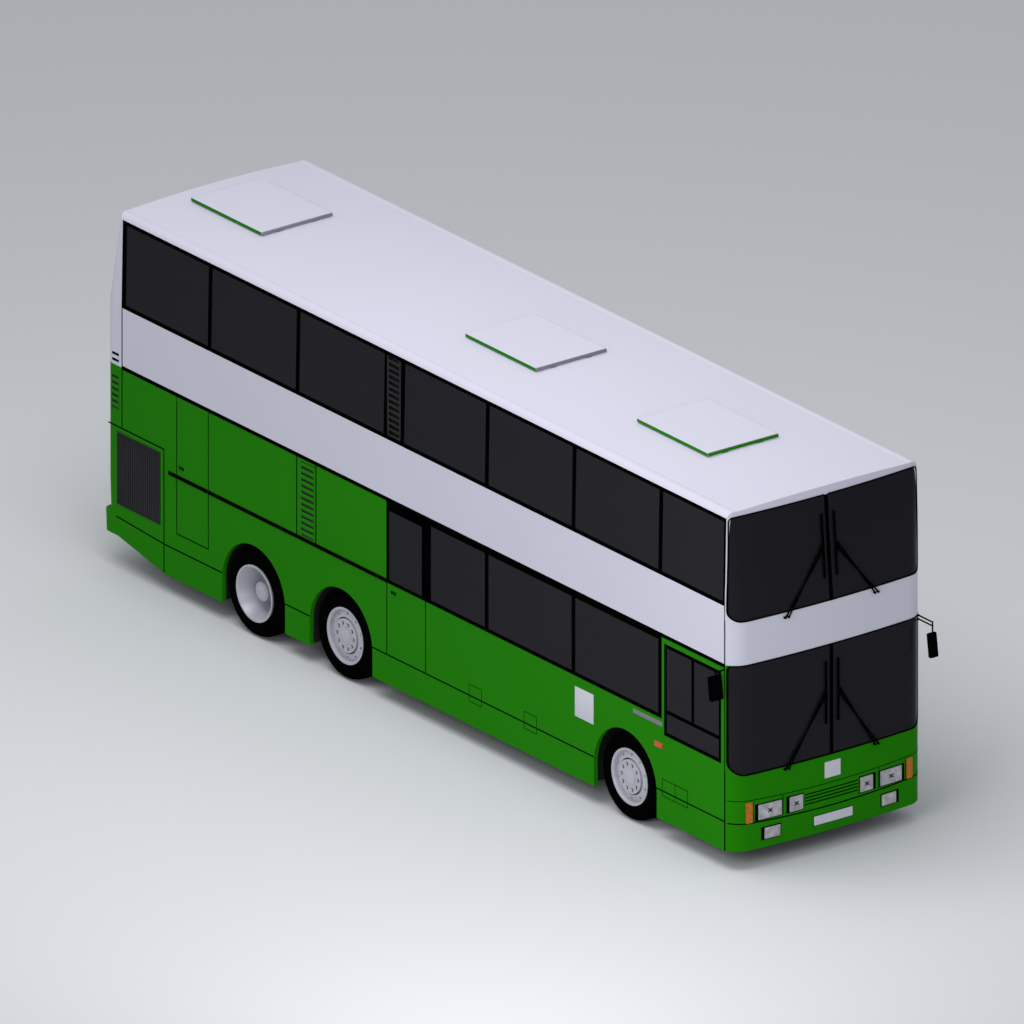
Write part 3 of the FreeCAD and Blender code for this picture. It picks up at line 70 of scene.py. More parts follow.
# Studio floor and light
# A pale seamless floor, an even white sky and two soft lamps: one high overhead, and one wide
# lamp beside the front corner, which brightens the forward end of the side.
floor_size = 160
floor_tone = (0.74, 0.75, 0.78, 1)
sky_light = 0.5
sky_tone = (0.95, 0.97, 1.0, 1)
bpy.ops.mesh.primitive_plane_add(size=floor_size)
floor = bpy.context.active_object
floor.name = "studio_floor"
floor_finish = bpy.data.materials.new("floor_finish")
floor_finish.use_nodes = True
floor_shader = floor_finish.node_tree.nodes["Principled BSDF"]
floor_shader.inputs["Base Color"].default_value = floor_tone
floor_shader.inputs["Roughness"].default_value = 0.9
floor_shader.inputs["Specular IOR Level"].default_value = 0.1
floor.data.materials.append(floor_finish)

sky = bpy.data.worlds.new("studio_sky")
bpy.context.scene.world = sky
sky.use_nodes = True
sky_nodes = sky.node_tree.nodes
sky_links = sky.node_tree.links
sky_nodes["Background"].inputs["Color"].default_value = sky_tone
sky_nodes["Background"].inputs["Strength"].default_value = sky_light
seen_sky = sky_nodes.new("ShaderNodeBackground")
seen_sky.inputs["Color"].default_value = (1, 1, 1, 1)
seen_sky.inputs["Strength"].default_value = 1
rays = sky_nodes.new("ShaderNodeLightPath")
sky_mix = sky_nodes.new("ShaderNodeMixShader")
sky_links.new(rays.outputs["Is Camera Ray"], sky_mix.inputs["Fac"])
sky_links.new(sky_nodes["Background"].outputs["Background"], sky_mix.inputs[1])
sky_links.new(seen_sky.outputs["Background"], sky_mix.inputs[2])
sky_links.new(sky_mix.outputs["Shader"], sky_nodes["World Output"].inputs["Surface"])

lamp_aim = Vector((2.0, 0, 1.5))
for lamp_name, lamp_place, lamp_size, lamp_power in (("overhead", (1.5, -5.0, 17.0), 12.0, 1480),
                                                     ("corner", (8.8, -7.2, 4.6), 3.0, 165)):
    lamp_data = bpy.data.lights.new(lamp_name, "AREA")
    lamp_data.size = lamp_size
    lamp_data.energy = lamp_power
    lamp = bpy.data.objects.new(lamp_name, lamp_data)
    bpy.context.scene.collection.objects.link(lamp)
    lamp.location = lamp_place
    lamp.rotation_euler = (Vector(lamp_place) - lamp_aim).to_track_quat("Z", "Y").to_euler()
bpy.context.scene.view_settings.view_transform = "Standard"

# Painted panels
# Aluminium panels on a steel frame, sprayed green below the waist and white above it, with
# the faint ripple that sprayed paint dries to.
seam_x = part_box("side_lower_right")[1].x
half_width = -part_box("side_lower_right")[0].y
RIGHT, LEFT = -1, 1
SIDES = (RIGHT, LEFT)
SIDE_NAMES = {RIGHT: "right", LEFT: "left"}


def finish(name, tone, shift=0.05, patch=1.5, rough=0.4, grain=400.0, height=0.0004, metal=0.0, shine=0.3):
    """A surface whose tone wanders a little in patches and whose fine grain is raised."""
    material = bpy.data.materials.new(name)
    material.use_nodes = True
    nodes = material.node_tree.nodes
    link = material.node_tree.links.new
    shader = nodes["Principled BSDF"]

    def add(kind, **values):
        part = nodes.new(f"ShaderNode{kind}")
        for socket, value in values.items():
            part.inputs[socket].default_value = value
        return part

    place = add("TexCoord").outputs["Object"]
    patches = add("TexNoise", Scale=patch, Detail=4)
    link(place, patches.inputs["Vector"])
    tones = add("ValToRGB")
    for stop, position, share in zip(tones.color_ramp.elements, (0.3, 0.7), (1 - shift, 1 + shift)):
        stop.position = position
        stop.color = [min(1, c * share) for c in tone] + [1]
    link(patches.outputs["Fac"], tones.inputs["Fac"])
    link(tones.outputs["Color"], shader.inputs["Base Color"])
    fine = add("TexNoise", Scale=grain)
    link(place, fine.inputs["Vector"])
    raised = add("Bump", Distance=height, Strength=0.5)
    link(fine.outputs["Fac"], raised.inputs["Height"])
    link(raised.outputs["Normal"], shader.inputs["Normal"])
    shader.inputs["Roughness"].default_value = rough
    shader.inputs["Metallic"].default_value = metal
    shader.inputs["Specular IOR Level"].default_value = shine
    return material


def coat(material, slot, *names):
    """Give solid nodes a finish. The slot is not used."""
    for name in names:
        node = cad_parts[name]
        node.data.materials.clear()
        node.data.materials.append(material)


green_paint = finish("green_paint", (0.0150, 0.212, 0.0016), 0.03, 0.8, 0.45, 160, 0.00015, shine=0.02)
white_paint = finish("white_paint", (0.64, 0.635, 0.735), 0.012, 0.8, 0.45, 160, 0.00015, shine=0.06)
coat(green_paint, "body_green", "side_lower_right", "side_lower_left", "front_bumper", "front_lower",
     "rear_lower", "rear_bumper", "emergency_door", "service_door", "engine_cover",
     "entrance_front_leaf", "entrance_rear_leaf")
coat(white_paint, "body_white", "side_upper_right", "side_upper_left", "front_upper", "rear_upper")

# Roof skin
# One pale skin of glass-fibre over the whole coach, smoother and a little lighter than the
# sides, bonded to the roof bows and sprayed with the rest.
roof_paint = finish("roof_paint", (0.655, 0.645, 0.76), 0.01, 0.5, 0.5, 120, 0.0003, shine=0.06)
coat(roof_paint, "roof_white", "roof", "roof_hatch_front", "roof_hatch_middle", "roof_hatch_rear")

# Joints between the side panels
# Black sealant fills the upright and level joints of the side panels and stands a hair proud.
eaves_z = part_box("window_frames")[1].z - 0.946
cant_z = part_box("window_frames")[1].z
cant_lean = 0.017
skirt_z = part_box("side_lower_right")[0].z
joint = 0.016
joint_stand = 0.0015
sunk = 0.002
arch_spans = {"front": (1.166, 2.246), "middle": (6.050, 7.130), "drive": (7.550, 8.630)}


def begin(add, scale=(1, 1, 1), **settings):
    """Start a form from a primitive and open it for editing, with all of it selected."""
    bpy.ops.object.select_all(action="DESELECT")
    add(**settings)
    bpy.context.active_object.scale = scale
    bpy.ops.object.transform_apply(location=True, rotation=True, scale=True)
    bpy.ops.object.mode_set(mode="EDIT")
    bpy.ops.mesh.select_all(action="SELECT")
    return bpy.context.active_object


def end(form):
    """Select all of an open form and close it."""
    bpy.ops.mesh.select_mode(type="VERT")
    bpy.ops.mesh.select_all(action="SELECT")
    bpy.ops.object.mode_set(mode="OBJECT")
    return form


def block(low, high, edge, turn=(0, 0, 0)):
    """A box between two corners, turned about its middle, with its edges rounded."""
    low, high = Vector(low), Vector(high)
    extent = Vector([abs(a) for a in high - low])
    form = begin(bpy.ops.mesh.primitive_cube_add, size=1, location=(low + high) / 2, rotation=turn,
                 scale=extent)
    bpy.ops.mesh.bevel(offset=min(edge, min(extent) / 3), segments=2, affect="EDGES")
    return end(form)


def joined(forms):
    """Join forms into the first of them, which stays selected."""
    bpy.ops.object.select_all(action="DESELECT")
    for form in forms:
        form.select_set(True)
    bpy.context.view_layer.objects.active = forms[0]
    if len(forms) > 1:
        bpy.ops.object.join()
    return forms[0]


def gather(name, forms, material, body="coach", smooth=30):
    """Join finished forms into one piece with its name, finish and body."""
    piece = joined(forms)
    bpy.ops.object.transform_apply(location=True, rotation=True, scale=True)
    bpy.ops.object.shade_smooth_by_angle(angle=math.radians(smooth))
    piece.name = name
    piece.data.name = name
    piece.data.materials.clear()
    piece.data.materials.append(material)
    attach(piece, body)
    return piece


def lean_in(form):
    """Lean what stands above the eaves inwards, as the upper wall leans."""
    for vertex in form.data.vertices:
        above = max(0, vertex.co.z - eaves_z)
        vertex.co.y -= math.copysign(above * cant_lean / (cant_z - eaves_z), vertex.co.y)
    return form


def strip(side, front, back, low, high, stand=joint_stand, edge=0.001):
    """A flat strip on a side wall, between two distances behind the front seam."""
    return lean_in(block((seam_x - back, side * (half_width - sunk), low),
                         (seam_x - front, side * (half_width + stand), high), edge))


def level_joint(side, front, back, z):
    return strip(side, front, back, z - joint / 2, z + joint / 2)


def upright_joint(side, d, low, high):
    """An upright joint, in two lengths where it passes the eaves and leans."""
    forms = [strip(side, d - joint / 2, d + joint / 2, low, min(high, eaves_z))]
    if high > eaves_z:
        forms.append(strip(side, d - joint / 2, d + joint / 2, eaves_z, high))
    return forms


sealant = finish("sealant", (0.001, 0.0012, 0.001), 0.2, 8, 0.9, 500, 0.0002, shine=0.0)
skirt_joint_z = 0.542
tail_joint, skirt_end, skirt_rise = 9.63, 10.455, 0.048
uprights = ((0.0, skirt_z + 0.004, cant_z), (10.35, 1.605, cant_z), (7.35, 1.386, 2.278),
            (7.02, 1.386, 2.278), (tail_joint, skirt_z + 0.012, 1.585))
joint_lines = []
for side in SIDES:
    stops = [0.0 if side == RIGHT else 1.052]
    for span in arch_spans.values():
        stops += span
    stops.append(tail_joint)
    for front, back in zip(stops[::2], stops[1::2]):
        joint_lines.append(level_joint(side, front, back, skirt_joint_z))
    rising = level_joint(side, tail_joint, skirt_end, skirt_joint_z)
    for vertex in rising.data.vertices:
        vertex.co.z += skirt_rise * (seam_x - tail_joint - vertex.co.x) / (skirt_end - tail_joint)
    joint_lines.append(rising)
    for d, low, high in uprights:
        joint_lines += upright_joint(side, d, low, high)
    joint_lines.append(level_joint(side, 9.648, 10.585, 1.60))
    joint_lines.append(strip(side, 9.624, 9.650, 1.583, 1.605))
gather("side_panel_joints", joint_lines, sealant)

# Waist and rub strips
# Black extruded mouldings: a thin one along the waist, over the whole side, and a deeper
# rub strip on the rear half, which crosses the service door in a length of its own.
moulding = finish("moulding", (0.0012, 0.0012, 0.0013), 0.15, 6, 0.8, 400, 0.0002, shine=0.0)
waist_low, waist_high = 2.260, 2.302
rub_low, rub_high = 1.346, 1.387
rub_stand = 0.009
service_front, service_back = 8.870, 9.410
mouldings = []
for side in SIDES:
    mouldings.append(strip(side, 0.005, 10.345, waist_low, waist_high, 0.004, 0.0015))
    spans = [(5.83, 9.55)]
    if side == RIGHT:
        spans = [(5.806, service_front - 0.004), (service_back + 0.004, 9.55)]
    for front, back in spans:
        mouldings.append(strip(side, front, back, rub_low, rub_high, rub_stand, 0.003))
    mouldings.append(strip(side, 1.105, 5.072, 2.222, waist_low + 0.001, 0.0015))
gather("side_mouldings", mouldings, moulding)
door_rub = strip(RIGHT, service_front + 0.010, service_back - 0.010, rub_low, rub_high, rub_stand, 0.003)
gather("service_door_moulding", [door_rub], moulding, "service_door")

# Window frames, glazing and grilles
# Dark tinted panes are bonded behind black frames. The louvres between the upper windows are
# black pressings.
frame_black = finish("frame_black", (0.001, 0.001, 0.001), 0.2, 3, 0.8, 500, 0.0002, shine=0.0)
grille_black = finish("grille_black", (0.012, 0.011, 0.013), 0.2, 3, 0.5, 500, 0.0002, shine=0.2)
coat(frame_black, "trim_black", "window_frames", "wipers", "mirrors", "steering_wheel")
coat(grille_black, "grille_black", "grilles")
tinted_glass = finish("tinted_glass", (0.0155, 0.0148, 0.0188), 0.06, 0.4, 0.12, 30, 0.00002, shine=0.05)
tinted_glass.node_tree.nodes["Principled BSDF"].inputs["Alpha"].default_value = 0.93
coat(tinted_glass, "glass", "glazing", "emergency_door_glass", "entrance_front_glass",
     "entrance_rear_glass")

# Windscreen gaskets
# Black rubber sections hold the two deep, wrap-round windscreens in the nose. Each is a ring
# with rounded corners that follows the nose.
ACROSS = (math.radians(90), 0, 0)
FACINGS = {RIGHT: ACROSS, LEFT: (math.radians(-90), 0, 0),
           "ahead": (math.radians(90), 0, math.radians(90)),
           "behind": (math.radians(90), 0, math.radians(-90))}


def reopen(form):
    """Open a finished form for editing again."""
    bpy.context.view_layer.objects.active = form
    bpy.ops.object.mode_set(mode="EDIT")
    return form


def pick(form, kind, test):
    """Select those vertices, edges or faces of an open form that pass a test."""
    bpy.ops.mesh.select_mode(type=kind)
    bpy.ops.mesh.select_all(action="DESELECT")
    shape = bmesh.from_edit_mesh(form.data)
    for part in {"VERT": shape.verts, "EDGE": shape.edges, "FACE": shape.faces}[kind]:
        part.select = test(part)
    shape.select_flush_mode()
    bmesh.update_edit_mesh(form.data)


def flat(centre, wide, tall, corner, facing, steps, head_corner=None):
    """An upright flat plate, open for editing, whose head may have other corners."""
    form = begin(bpy.ops.mesh.primitive_plane_add, size=1, location=centre, rotation=FACINGS[facing],
                 scale=(wide, tall, 1))
    for level, radius in ((-1, corner), (1, head_corner or corner)):
        pick(form, "VERT", lambda v: abs(level * (v.co.z - centre[2]) - tall / 2) < radius / 4)
        bpy.ops.mesh.bevel(offset=radius, segments=steps, affect="VERTICES")
    bpy.ops.mesh.select_all(action="SELECT")
    return form


def plate(centre, wide, tall, corner, facing, steps=4):
    return end(flat(centre, wide, tall, corner, facing, steps))


def ring(centre, wide, tall, corner, width, facing, steps=5, head_corner=None):
    """A flat ring with rounded corners; width is that of its band, inwards from its edge."""
    form = flat(centre, wide, tall, corner, facing, steps, head_corner)
    bpy.ops.mesh.inset(thickness=width)
    bpy.ops.mesh.delete(type="FACE")
    return end(form)


def divide(form, longest, cuts):
    """Divide the edges over a length, so that a flat form can follow a curved panel."""
    pick(reopen(form), "EDGE", lambda edge: edge.calc_length() > longest)
    bpy.ops.mesh.subdivide(number_cuts=cuts)
    return end(form)


def applied(form, kind, **settings):
    """Give a form a modifier and apply it."""
    bpy.context.view_layer.objects.active = form
    change = form.modifiers.new(kind, kind)
    for setting, value in settings.items():
        setattr(change, setting, value)
    bpy.ops.object.modifier_apply(modifier=change.name)
    return form


def thicken(form, depth):
    """Give a thin form its thickness, outwards from its face."""
    return applied(form, "SOLIDIFY", thickness=depth, offset=1)


def own_copy(name, mesh):
    """An object with a mesh of its own, copied from another."""
    copy = bpy.data.objects.new(name, mesh.copy())
    bpy.context.scene.collection.objects.link(copy)
    return copy


def cast(name, *nodes):
    """A merged copy of panels, for other forms to be laid on."""
    form = reopen(joined([own_copy(name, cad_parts[node].data) for node in nodes]))
    bpy.ops.mesh.select_all(action="SELECT")
    bpy.ops.mesh.remove_doubles()
    return end(form)


def lay(form, panel, gap=-0.001):
    """Lay a flat form along the coach onto a panel. What misses it follows its neighbours."""
    start_x = form.data.vertices[0].co.x
    applied(form, "SHRINKWRAP", target=panel, wrap_method="PROJECT", use_project_x=True,
            use_negative_direction=True, use_positive_direction=True, offset=gap)
    laid = [v.co.copy() for v in form.data.vertices if abs(v.co.x - start_x) > joint]
    for vertex in form.data.vertices:
        if abs(vertex.co.x - start_x) <= joint:
            vertex.co.x = min(laid, key=lambda place: (place - vertex.co).yz.length).x
    return form


ahead_x = 5.6
nose_cast = cast("nose_cast", "front_lower", "front_upper", "front_bumper", "glazing", "roof")
rubber_black = finish("rubber_black", (0.0012, 0.0012, 0.0012), 0.15, 10, 0.9, 500, 0.0002, shine=0.0)
gasket_width = 0.014
screen_half = 1.234
cover_half = 1.2485
head_corner_radius = 0.05


def screen_surround(name, low, high, corner, material, slot):
    """A thin painted sheet round a windscreen, whose opening has rounded corners."""
    middle = (ahead_x, 0, (low + high) / 2)
    form = flat(middle, 2 * screen_half, high - low, corner, "ahead", 8, head_corner_radius)
    bpy.ops.mesh.delete(type="ONLY_FACE")
    bpy.ops.mesh.select_mode(type="EDGE")
    bpy.ops.mesh.select_all(action="SELECT")
    bpy.ops.mesh.extrude_edges_move()
    shape = bmesh.from_edit_mesh(form.data)
    for vertex in {v for edge in shape.edges if edge.select for v in edge.verts}:
        across, up = vertex.co.y, vertex.co.z - middle[2]
        reach = min(cover_half / max(abs(across), joint), ((high - low) / 2 + 0.005) / max(abs(up), joint))
        vertex.co.y = across * reach
        vertex.co.z = middle[2] + up * reach
    for face in shape.faces:
        face.normal_update()
    pick(form, "FACE", lambda face: face.normal.x < 0)
    bpy.ops.mesh.flip_normals()
    form = lean_in(divide(divide(end(form), 0.5, 70), 0.013, 3))
    gather(name, [thicken(lay(form, nose_cast), 0.0042)], material)


lower_screen, upper_screen = (1.060, 2.287, 0.16), (2.780, 3.926, 0.12)
screen_surround("lower_screen_surround", *lower_screen, green_paint, "body_green")
screen_surround("upper_screen_surround", *upper_screen, white_paint, "body_white")
gaskets = []
for low, high, corner in (lower_screen, upper_screen):
    gasket = ring((ahead_x, 0, (low + high) / 2), 2 * screen_half + gasket_width,
                  high - low + gasket_width, corner, gasket_width, "ahead", 8, head_corner_radius)
    gaskets.append(thicken(lay(lean_in(divide(gasket, 0.5, 70)), nose_cast), 0.008))
gather("windscreen_gaskets", gaskets, rubber_black)

# Joints of the nose
# The lamp panel and the bumper meet the nose in fine joints that bend down towards the
# middle; short upright joints part the lamp panel beside each large lamp.
def nose_line(z_side, z_middle, width, reach=1.236):
    """A thin strip across the nose whose height changes towards the middle."""
    line = plate((ahead_x, 0, z_side), 2 * reach, width, width / 4, "ahead", 1)
    divide(line, 0.5, 70)
    for vertex in line.data.vertices:
        vertex.co.z += (z_middle - z_side) * (1 - (vertex.co.y / reach) ** 2)
    return thicken(lay(line, nose_cast), 0.003)


def nose_form(y, z, wide, tall, corner, stand, longest=0.1, cuts=8, steps=2):
    """A plate with rounded corners that follows the nose."""
    form = plate((ahead_x, y, z), wide, tall, corner, "ahead", steps)
    return thicken(lay(divide(form, longest, cuts), nose_cast), stand)


nose_joints = [nose_line(0.780, 0.742, 0.006), nose_line(0.527, 0.487, 0.014)]
for y in (-0.99, -0.62, 0.99, 0.62):
    nose_joints.append(nose_form(y, 0.630, 0.006, 0.225, 0.001, 0.003, cuts=6, steps=1))
gather("nose_joints", nose_joints, sealant)
bar_foot, bar_pitch, bar_tall = 0.567, 0.037, 0.012
bars = [nose_form(0, bar_foot + k * bar_pitch, 0.690, bar_tall, bar_tall / 3, 0.003, 0.5, 20)
        for k in range(4)]
gather("nose_bars", bars, sealant)

# Doors and flaps in the sides
# Each door closes against a rubber seal round its opening. Small flaps over the fuel and
# water fillers are cut into the skirt and have a round lock each.
exit_front, exit_back, exit_foot = 5.140, 5.800, 0.544
service_foot = 0.730
seal = 0.008


def side_ring(side, front, back, low, high, corner, width, stand=joint_stand):
    centre = Vector((seam_x - (front + back) / 2, side * (half_width - sunk / 2), (low + high) / 2))
    return thicken(ring(centre, back - front, high - low, corner, width, side, 3), stand + sunk / 2)


def drum(centre, radius, depth, sides, turn=ACROSS, ease=0.0, rings=1):
    """A short round bar, across the coach unless turned, whose edges may be eased."""
    form = begin(bpy.ops.mesh.primitive_cylinder_add, vertices=sides, radius=radius, depth=depth,
                 location=centre, rotation=turn)
    if ease:
        bpy.ops.mesh.bevel(offset=ease, segments=rings, affect="EDGES")
    return end(form)


seals = [side_ring(LEFT, 0.090 - seal, 1.040 + seal, 0.300 - seal, 2.200 + seal, 0.02, seal, 0.0025)]
for front, back, low in ((exit_front, exit_back, exit_foot), (service_front, service_back, service_foot)):
    seals.append(side_ring(RIGHT, front - seal, back + seal, low - seal, 2.280, seal, seal))
gather("door_seals", seals, rubber_black)

flap_edges = []
flap_locks = []
flaps = ((0.635, 0.850, 0.485, 0.680), (0.850, 1.070, 0.485, 0.680), (3.230, 3.445, 0.475, 0.670),
         (4.175, 4.390, 0.475, 0.670))
for side in SIDES:
    for front, back, low, high in flaps[2 * SIDES.index(side):]:
        flap_edges.append(side_ring(side, front - 0.003, back + 0.003, low, high, 0.006, 0.006))
        lock_place = (seam_x - back + 0.035, side * (half_width + 0.0015), (low + high) / 2)
        flap_locks.append(drum(lock_place, 0.009, 0.003, 16, ease=0.001, rings=2))
gather("flap_edges", flap_edges, sealant)
gather("flap_locks", flap_locks, green_paint)


def pull_handle(name, d, z, body):
    """A recessed pull: a dark dished cup with a bar across it."""
    cup = reopen(plate((seam_x - d, RIGHT * (half_width - sunk / 2), z), 0.085, 0.036, 0.008, RIGHT))
    bpy.ops.mesh.extrude_region_move(TRANSFORM_OT_translate={"value": (0, RIGHT * 0.004, 0)})
    bpy.ops.mesh.inset(thickness=0.004)
    bpy.ops.mesh.extrude_region_move(TRANSFORM_OT_translate={"value": (0, -RIGHT * 0.003, 0)})
    end(cup)
    bar = block((seam_x - d - 0.034, RIGHT * (half_width + 0.006), z - 0.004),
                (seam_x - d + 0.034, RIGHT * (half_width + 0.001), z + 0.006), 0.002)
    return gather(name, [cup, bar], moulding, body)


pull_handle("emergency_door_handle", 5.690, 1.262, "emergency_door")
pull_handle("service_door_handle", 9.330, 1.480, "service_door")
clear = 0.0004
head_z = 2.2585


def door_sheet(front, back, low, high, depth=0.0015):
    """A thin sheet on the outside of a side door, a hair clear of the body beside it."""
    return block((seam_x - back, RIGHT * (half_width + clear), low),
                 (seam_x - front, RIGHT * (half_width + clear + depth), high), depth / 3)


door_post = strip(RIGHT, 5.070, exit_front - 0.0075, 1.346, 2.262, 0.0015)
gather("door_post", [door_post], frame_black)
band_front, band_back, band_low = exit_front + 0.0005, exit_back - 0.0005, 1.346
pane_front, pane_back, pane_low, pane_high = 5.201, 5.759, 1.388, 2.160
gather("emergency_door_band", [
    door_sheet(band_front, band_back, pane_high, head_z),
    door_sheet(band_front, band_back, band_low, pane_low),
    door_sheet(band_front, pane_front, band_low, head_z),
    door_sheet(pane_back, band_back, band_low, head_z)], frame_black, "emergency_door")
hinge_x, hinge_low, hinge_high = seam_x - exit_front, 2.000, 2.080
sleeve = drum((hinge_x, RIGHT * (half_width + 0.008), (hinge_low + hinge_high) / 2), 0.00795,
              hinge_high - hinge_low + 0.001, 20, (0, 0, 0))
tab = block((hinge_x - 0.037, RIGHT * (half_width + clear), hinge_low - 0.0005),
            (hinge_x, RIGHT * (half_width + 0.0108), hinge_high + 0.0005), 0.001)
gather("emergency_door_hinge_cap", [sleeve, tab], frame_black, "emergency_door")
service_head = door_sheet(service_front + 0.0005, service_back - 0.0005, 2.200, head_z)
gather("service_door_head", [service_head], green_paint, "service_door")

# Louvres and engine grilles
# Green louvre panels are pressed with a row of level slots whose lower lips stand out; the
# engine breathes through a black grille of upright ribs, set over its opening.
slot_pitch, slot_tall, lip = 0.069, 0.029, 0.004


def louvre_panel(side, front, back, foot, rows, end_width):
    """Level blades one above another with an upright strip at each end."""
    forms = [strip(side, front, front + end_width, foot, foot + rows * slot_pitch, 0.002),
             strip(side, back - end_width, back, foot, foot + rows * slot_pitch, 0.002)]
    for k in range(rows):
        low = foot + k * slot_pitch + slot_tall
        blade = strip(side, front + end_width / 2, back - end_width / 2, low,
                      low + slot_pitch - slot_tall, 0.002)
        for vertex in blade.data.vertices:
            if vertex.co.z > low + (slot_pitch - slot_tall) / 2 and abs(vertex.co.y) > half_width:
                vertex.co.y += side * lip
        forms.append(blade)
    return forms


panel_forms = []
slot_shade_forms = []
for side in SIDES:
    panel_forms += louvre_panel(side, 7.034, 7.296, 1.394, 12, 0.024)
    panel_forms += louvre_panel(side, 10.396, 10.534, 1.786, 6, 0.010)
    panel_forms.append(strip(side, 10.396, 10.534, 2.195, 2.246, 0.002))
    # Two flat dark strips over each tail louvre stand for slots: painted shade where the insides of the slots
    # fall dark.
    for k in (0, 1):
        low = 2.318 + k * slot_pitch
        slot_shade_forms.append(strip(side, 10.404, 10.520, low, low + slot_tall, 0.001))
gather("louvre_panels", panel_forms, green_paint)
gather("tail_upper_slot_shade", slot_shade_forms, sealant)
grille_front, grille_back, grille_foot, grille_head = 9.690, 10.437, 0.735, 1.543
ribs = []
for side in SIDES:
    ribs.append(strip(side, grille_front, grille_back, grille_foot, grille_head, 0.002))
    for z in (grille_foot, grille_head - 0.014):
        ribs.append(strip(side, grille_front, grille_back, z, z + 0.014, 0.007, 0.002))
    for k in range(21):
        d = grille_front + 0.004 + k * (grille_back - grille_front - 0.022) / 20
        ribs.append(strip(side, d, d + 0.014, grille_foot, grille_head, 0.006, 0.002))
gather("engine_grilles", ribs, grille_black)

# Markers and blank plates on the sides
# An orange marker lamp ahead of each front wheel arch, and bare plates of white and grey
# plastic, bonded to the panel.
marker_orange = finish("marker_orange", (0.60, 0.075, 0.008), 0.15, 30, 0.3, 300, 0.0006, shine=0.4)
plate_white = finish("plate_white", (0.62, 0.62, 0.70), 0.02, 6, 0.45, 300, 0.0002, shine=0.15)
plate_grey = finish("plate_grey", (0.20, 0.20, 0.22), 0.06, 30, 0.5, 400, 0.0003, shine=0.15)


markers = []
for side in SIDES:
    markers.append(strip(side, 1.070, 1.195, 1.012, 1.062, 0.010, 0.003))
    markers.append(strip(side, 1.064, 1.201, 1.006, 1.068, 0.003))
gather("side_markers", markers, marker_orange)
gather("side_badge_plate", [strip(RIGHT, 2.250, 2.570, 0.900, 1.232, 0.003)], plate_white)
gather("side_name_strip", [strip(RIGHT, 1.070, 1.570, 1.256, 1.306, 0.003)], plate_grey)

# Plates on the nose
# A bare white plate above the lamps and a bare number plate in a black holder on the bumper.
for name, y, z, wide, tall, stand, material, slot in (
        ("nose_badge_plate", 0.012, 0.890, 0.205, 0.178, 0.004, plate_white, "body_white"),
        ("number_plate_front", 0.02, 0.357, 0.500, 0.100, 0.007, plate_white, "body_white"),
        ("number_plate_holder", 0.02, 0.357, 0.512, 0.112, 0.004, moulding, "trim_black")):
    gather(name, [nose_form(y, z, wide, tall, 0.004, stand, 0.12)], material)

# Lamps
# Clear, orange and red lenses of moulded plastic in black frames. Each frame is widened on its outer side by
# a band of black painted shade, where the lamp's recess falls dark. Each clear lens is moulded into
# pillow-shaped prisms round a dark middle.
clear_lens = finish("clear_lens", (0.36, 0.36, 0.39), 0.25, 30, 0.35, 300, 0.0006, shine=0.2)
prism_glass = finish("prism_glass", (0.44, 0.44, 0.47), 0.3, 14, 0.3, 300, 0.0006, shine=0.3)
lens_dark = finish("lens_dark", (0.03, 0.03, 0.032), 0.3, 60, 0.4, 300, 0.0004, shine=0.2)
orange_lens = finish("orange_lens", (0.52, 0.16, 0.012), 0.2, 40, 0.25, 300, 0.0006, shine=0.3)
red_lens = finish("red_lens", (0.42, 0.008, 0.006), 0.2, 40, 0.25, 300, 0.0006, shine=0.4)
coat(red_lens, "lamp_red", "rear_lamps")
lamp_places = ((0.785, 0.615, 0.290, 0.166, 11, 6), (0.455, 0.615, 0.170, 0.166, 6, 6),
               (0.756, 0.366, 0.195, 0.124, 8, 5))
# The wider outer band of each lamp frame is painted shade of the lamp's recess.
frame_edge, outer_shade_edge = 0.011, 0.038


def prism_field(y, z, wide, tall, columns, rows):
    """A grid of raised pillows over a lens."""
    field = begin(bpy.ops.mesh.primitive_grid_add, x_subdivisions=columns, y_subdivisions=rows, size=1,
                  location=(ahead_x, y, z), rotation=FACINGS["ahead"], scale=(wide, tall, 1))
    bpy.ops.mesh.inset(thickness=0.003, use_individual=True, depth=0)
    lay(end(field), nose_cast)
    for vertex in field.data.vertices:
        vertex.co.x += lens_stand
    cell = wide / columns * tall / rows
    pick(reopen(field), "FACE", lambda face: face.calc_area() > cell / 2)
    bpy.ops.transform.translate(value=(0.002, 0, 0))
    return thicken(end(field), 0.001)


lens_stand = 0.010
lenses, frames, prisms, centres = [], [], [], []
for side in SIDES:
    for y, z, wide, tall, columns, rows in lamp_places:
        lenses.append(nose_form(side * y, z, wide, tall, 0.006, lens_stand))
        frames.append(nose_form(side * (y + (outer_shade_edge - frame_edge) / 2), z, wide + frame_edge + outer_shade_edge,
                                tall + 2 * frame_edge, 0.006, 0.005))
        prisms.append(prism_field(side * y, z, wide - 0.014, tall - 0.014, columns, rows))
        if tall > 0.15:
            for turn in (math.radians(35), math.radians(-35)):
                arm = plate((ahead_x, side * y, z), 0.070, 0.012, 0.003, "ahead", 2)
                for vertex in arm.data.vertices:
                    across, up = vertex.co.y - side * y, vertex.co.z - z
                    vertex.co.y = side * y + across * math.cos(turn) - up * math.sin(turn)
                    vertex.co.z = z + across * math.sin(turn) + up * math.cos(turn)
                centres.append(thicken(lay(arm, nose_cast), lens_stand + 0.0045))
            centres.append(nose_form(side * y, z, 0.030, 0.034, 0.006, lens_stand + 0.005))
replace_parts(gather("headlamp_lenses", lenses, clear_lens), "headlamps")
gather("lamp_frames_recess_shade", frames, frame_black)
gather("lamp_prisms", prisms, prism_glass)
gather("lamp_middles", centres, lens_dark)
blinkers = []
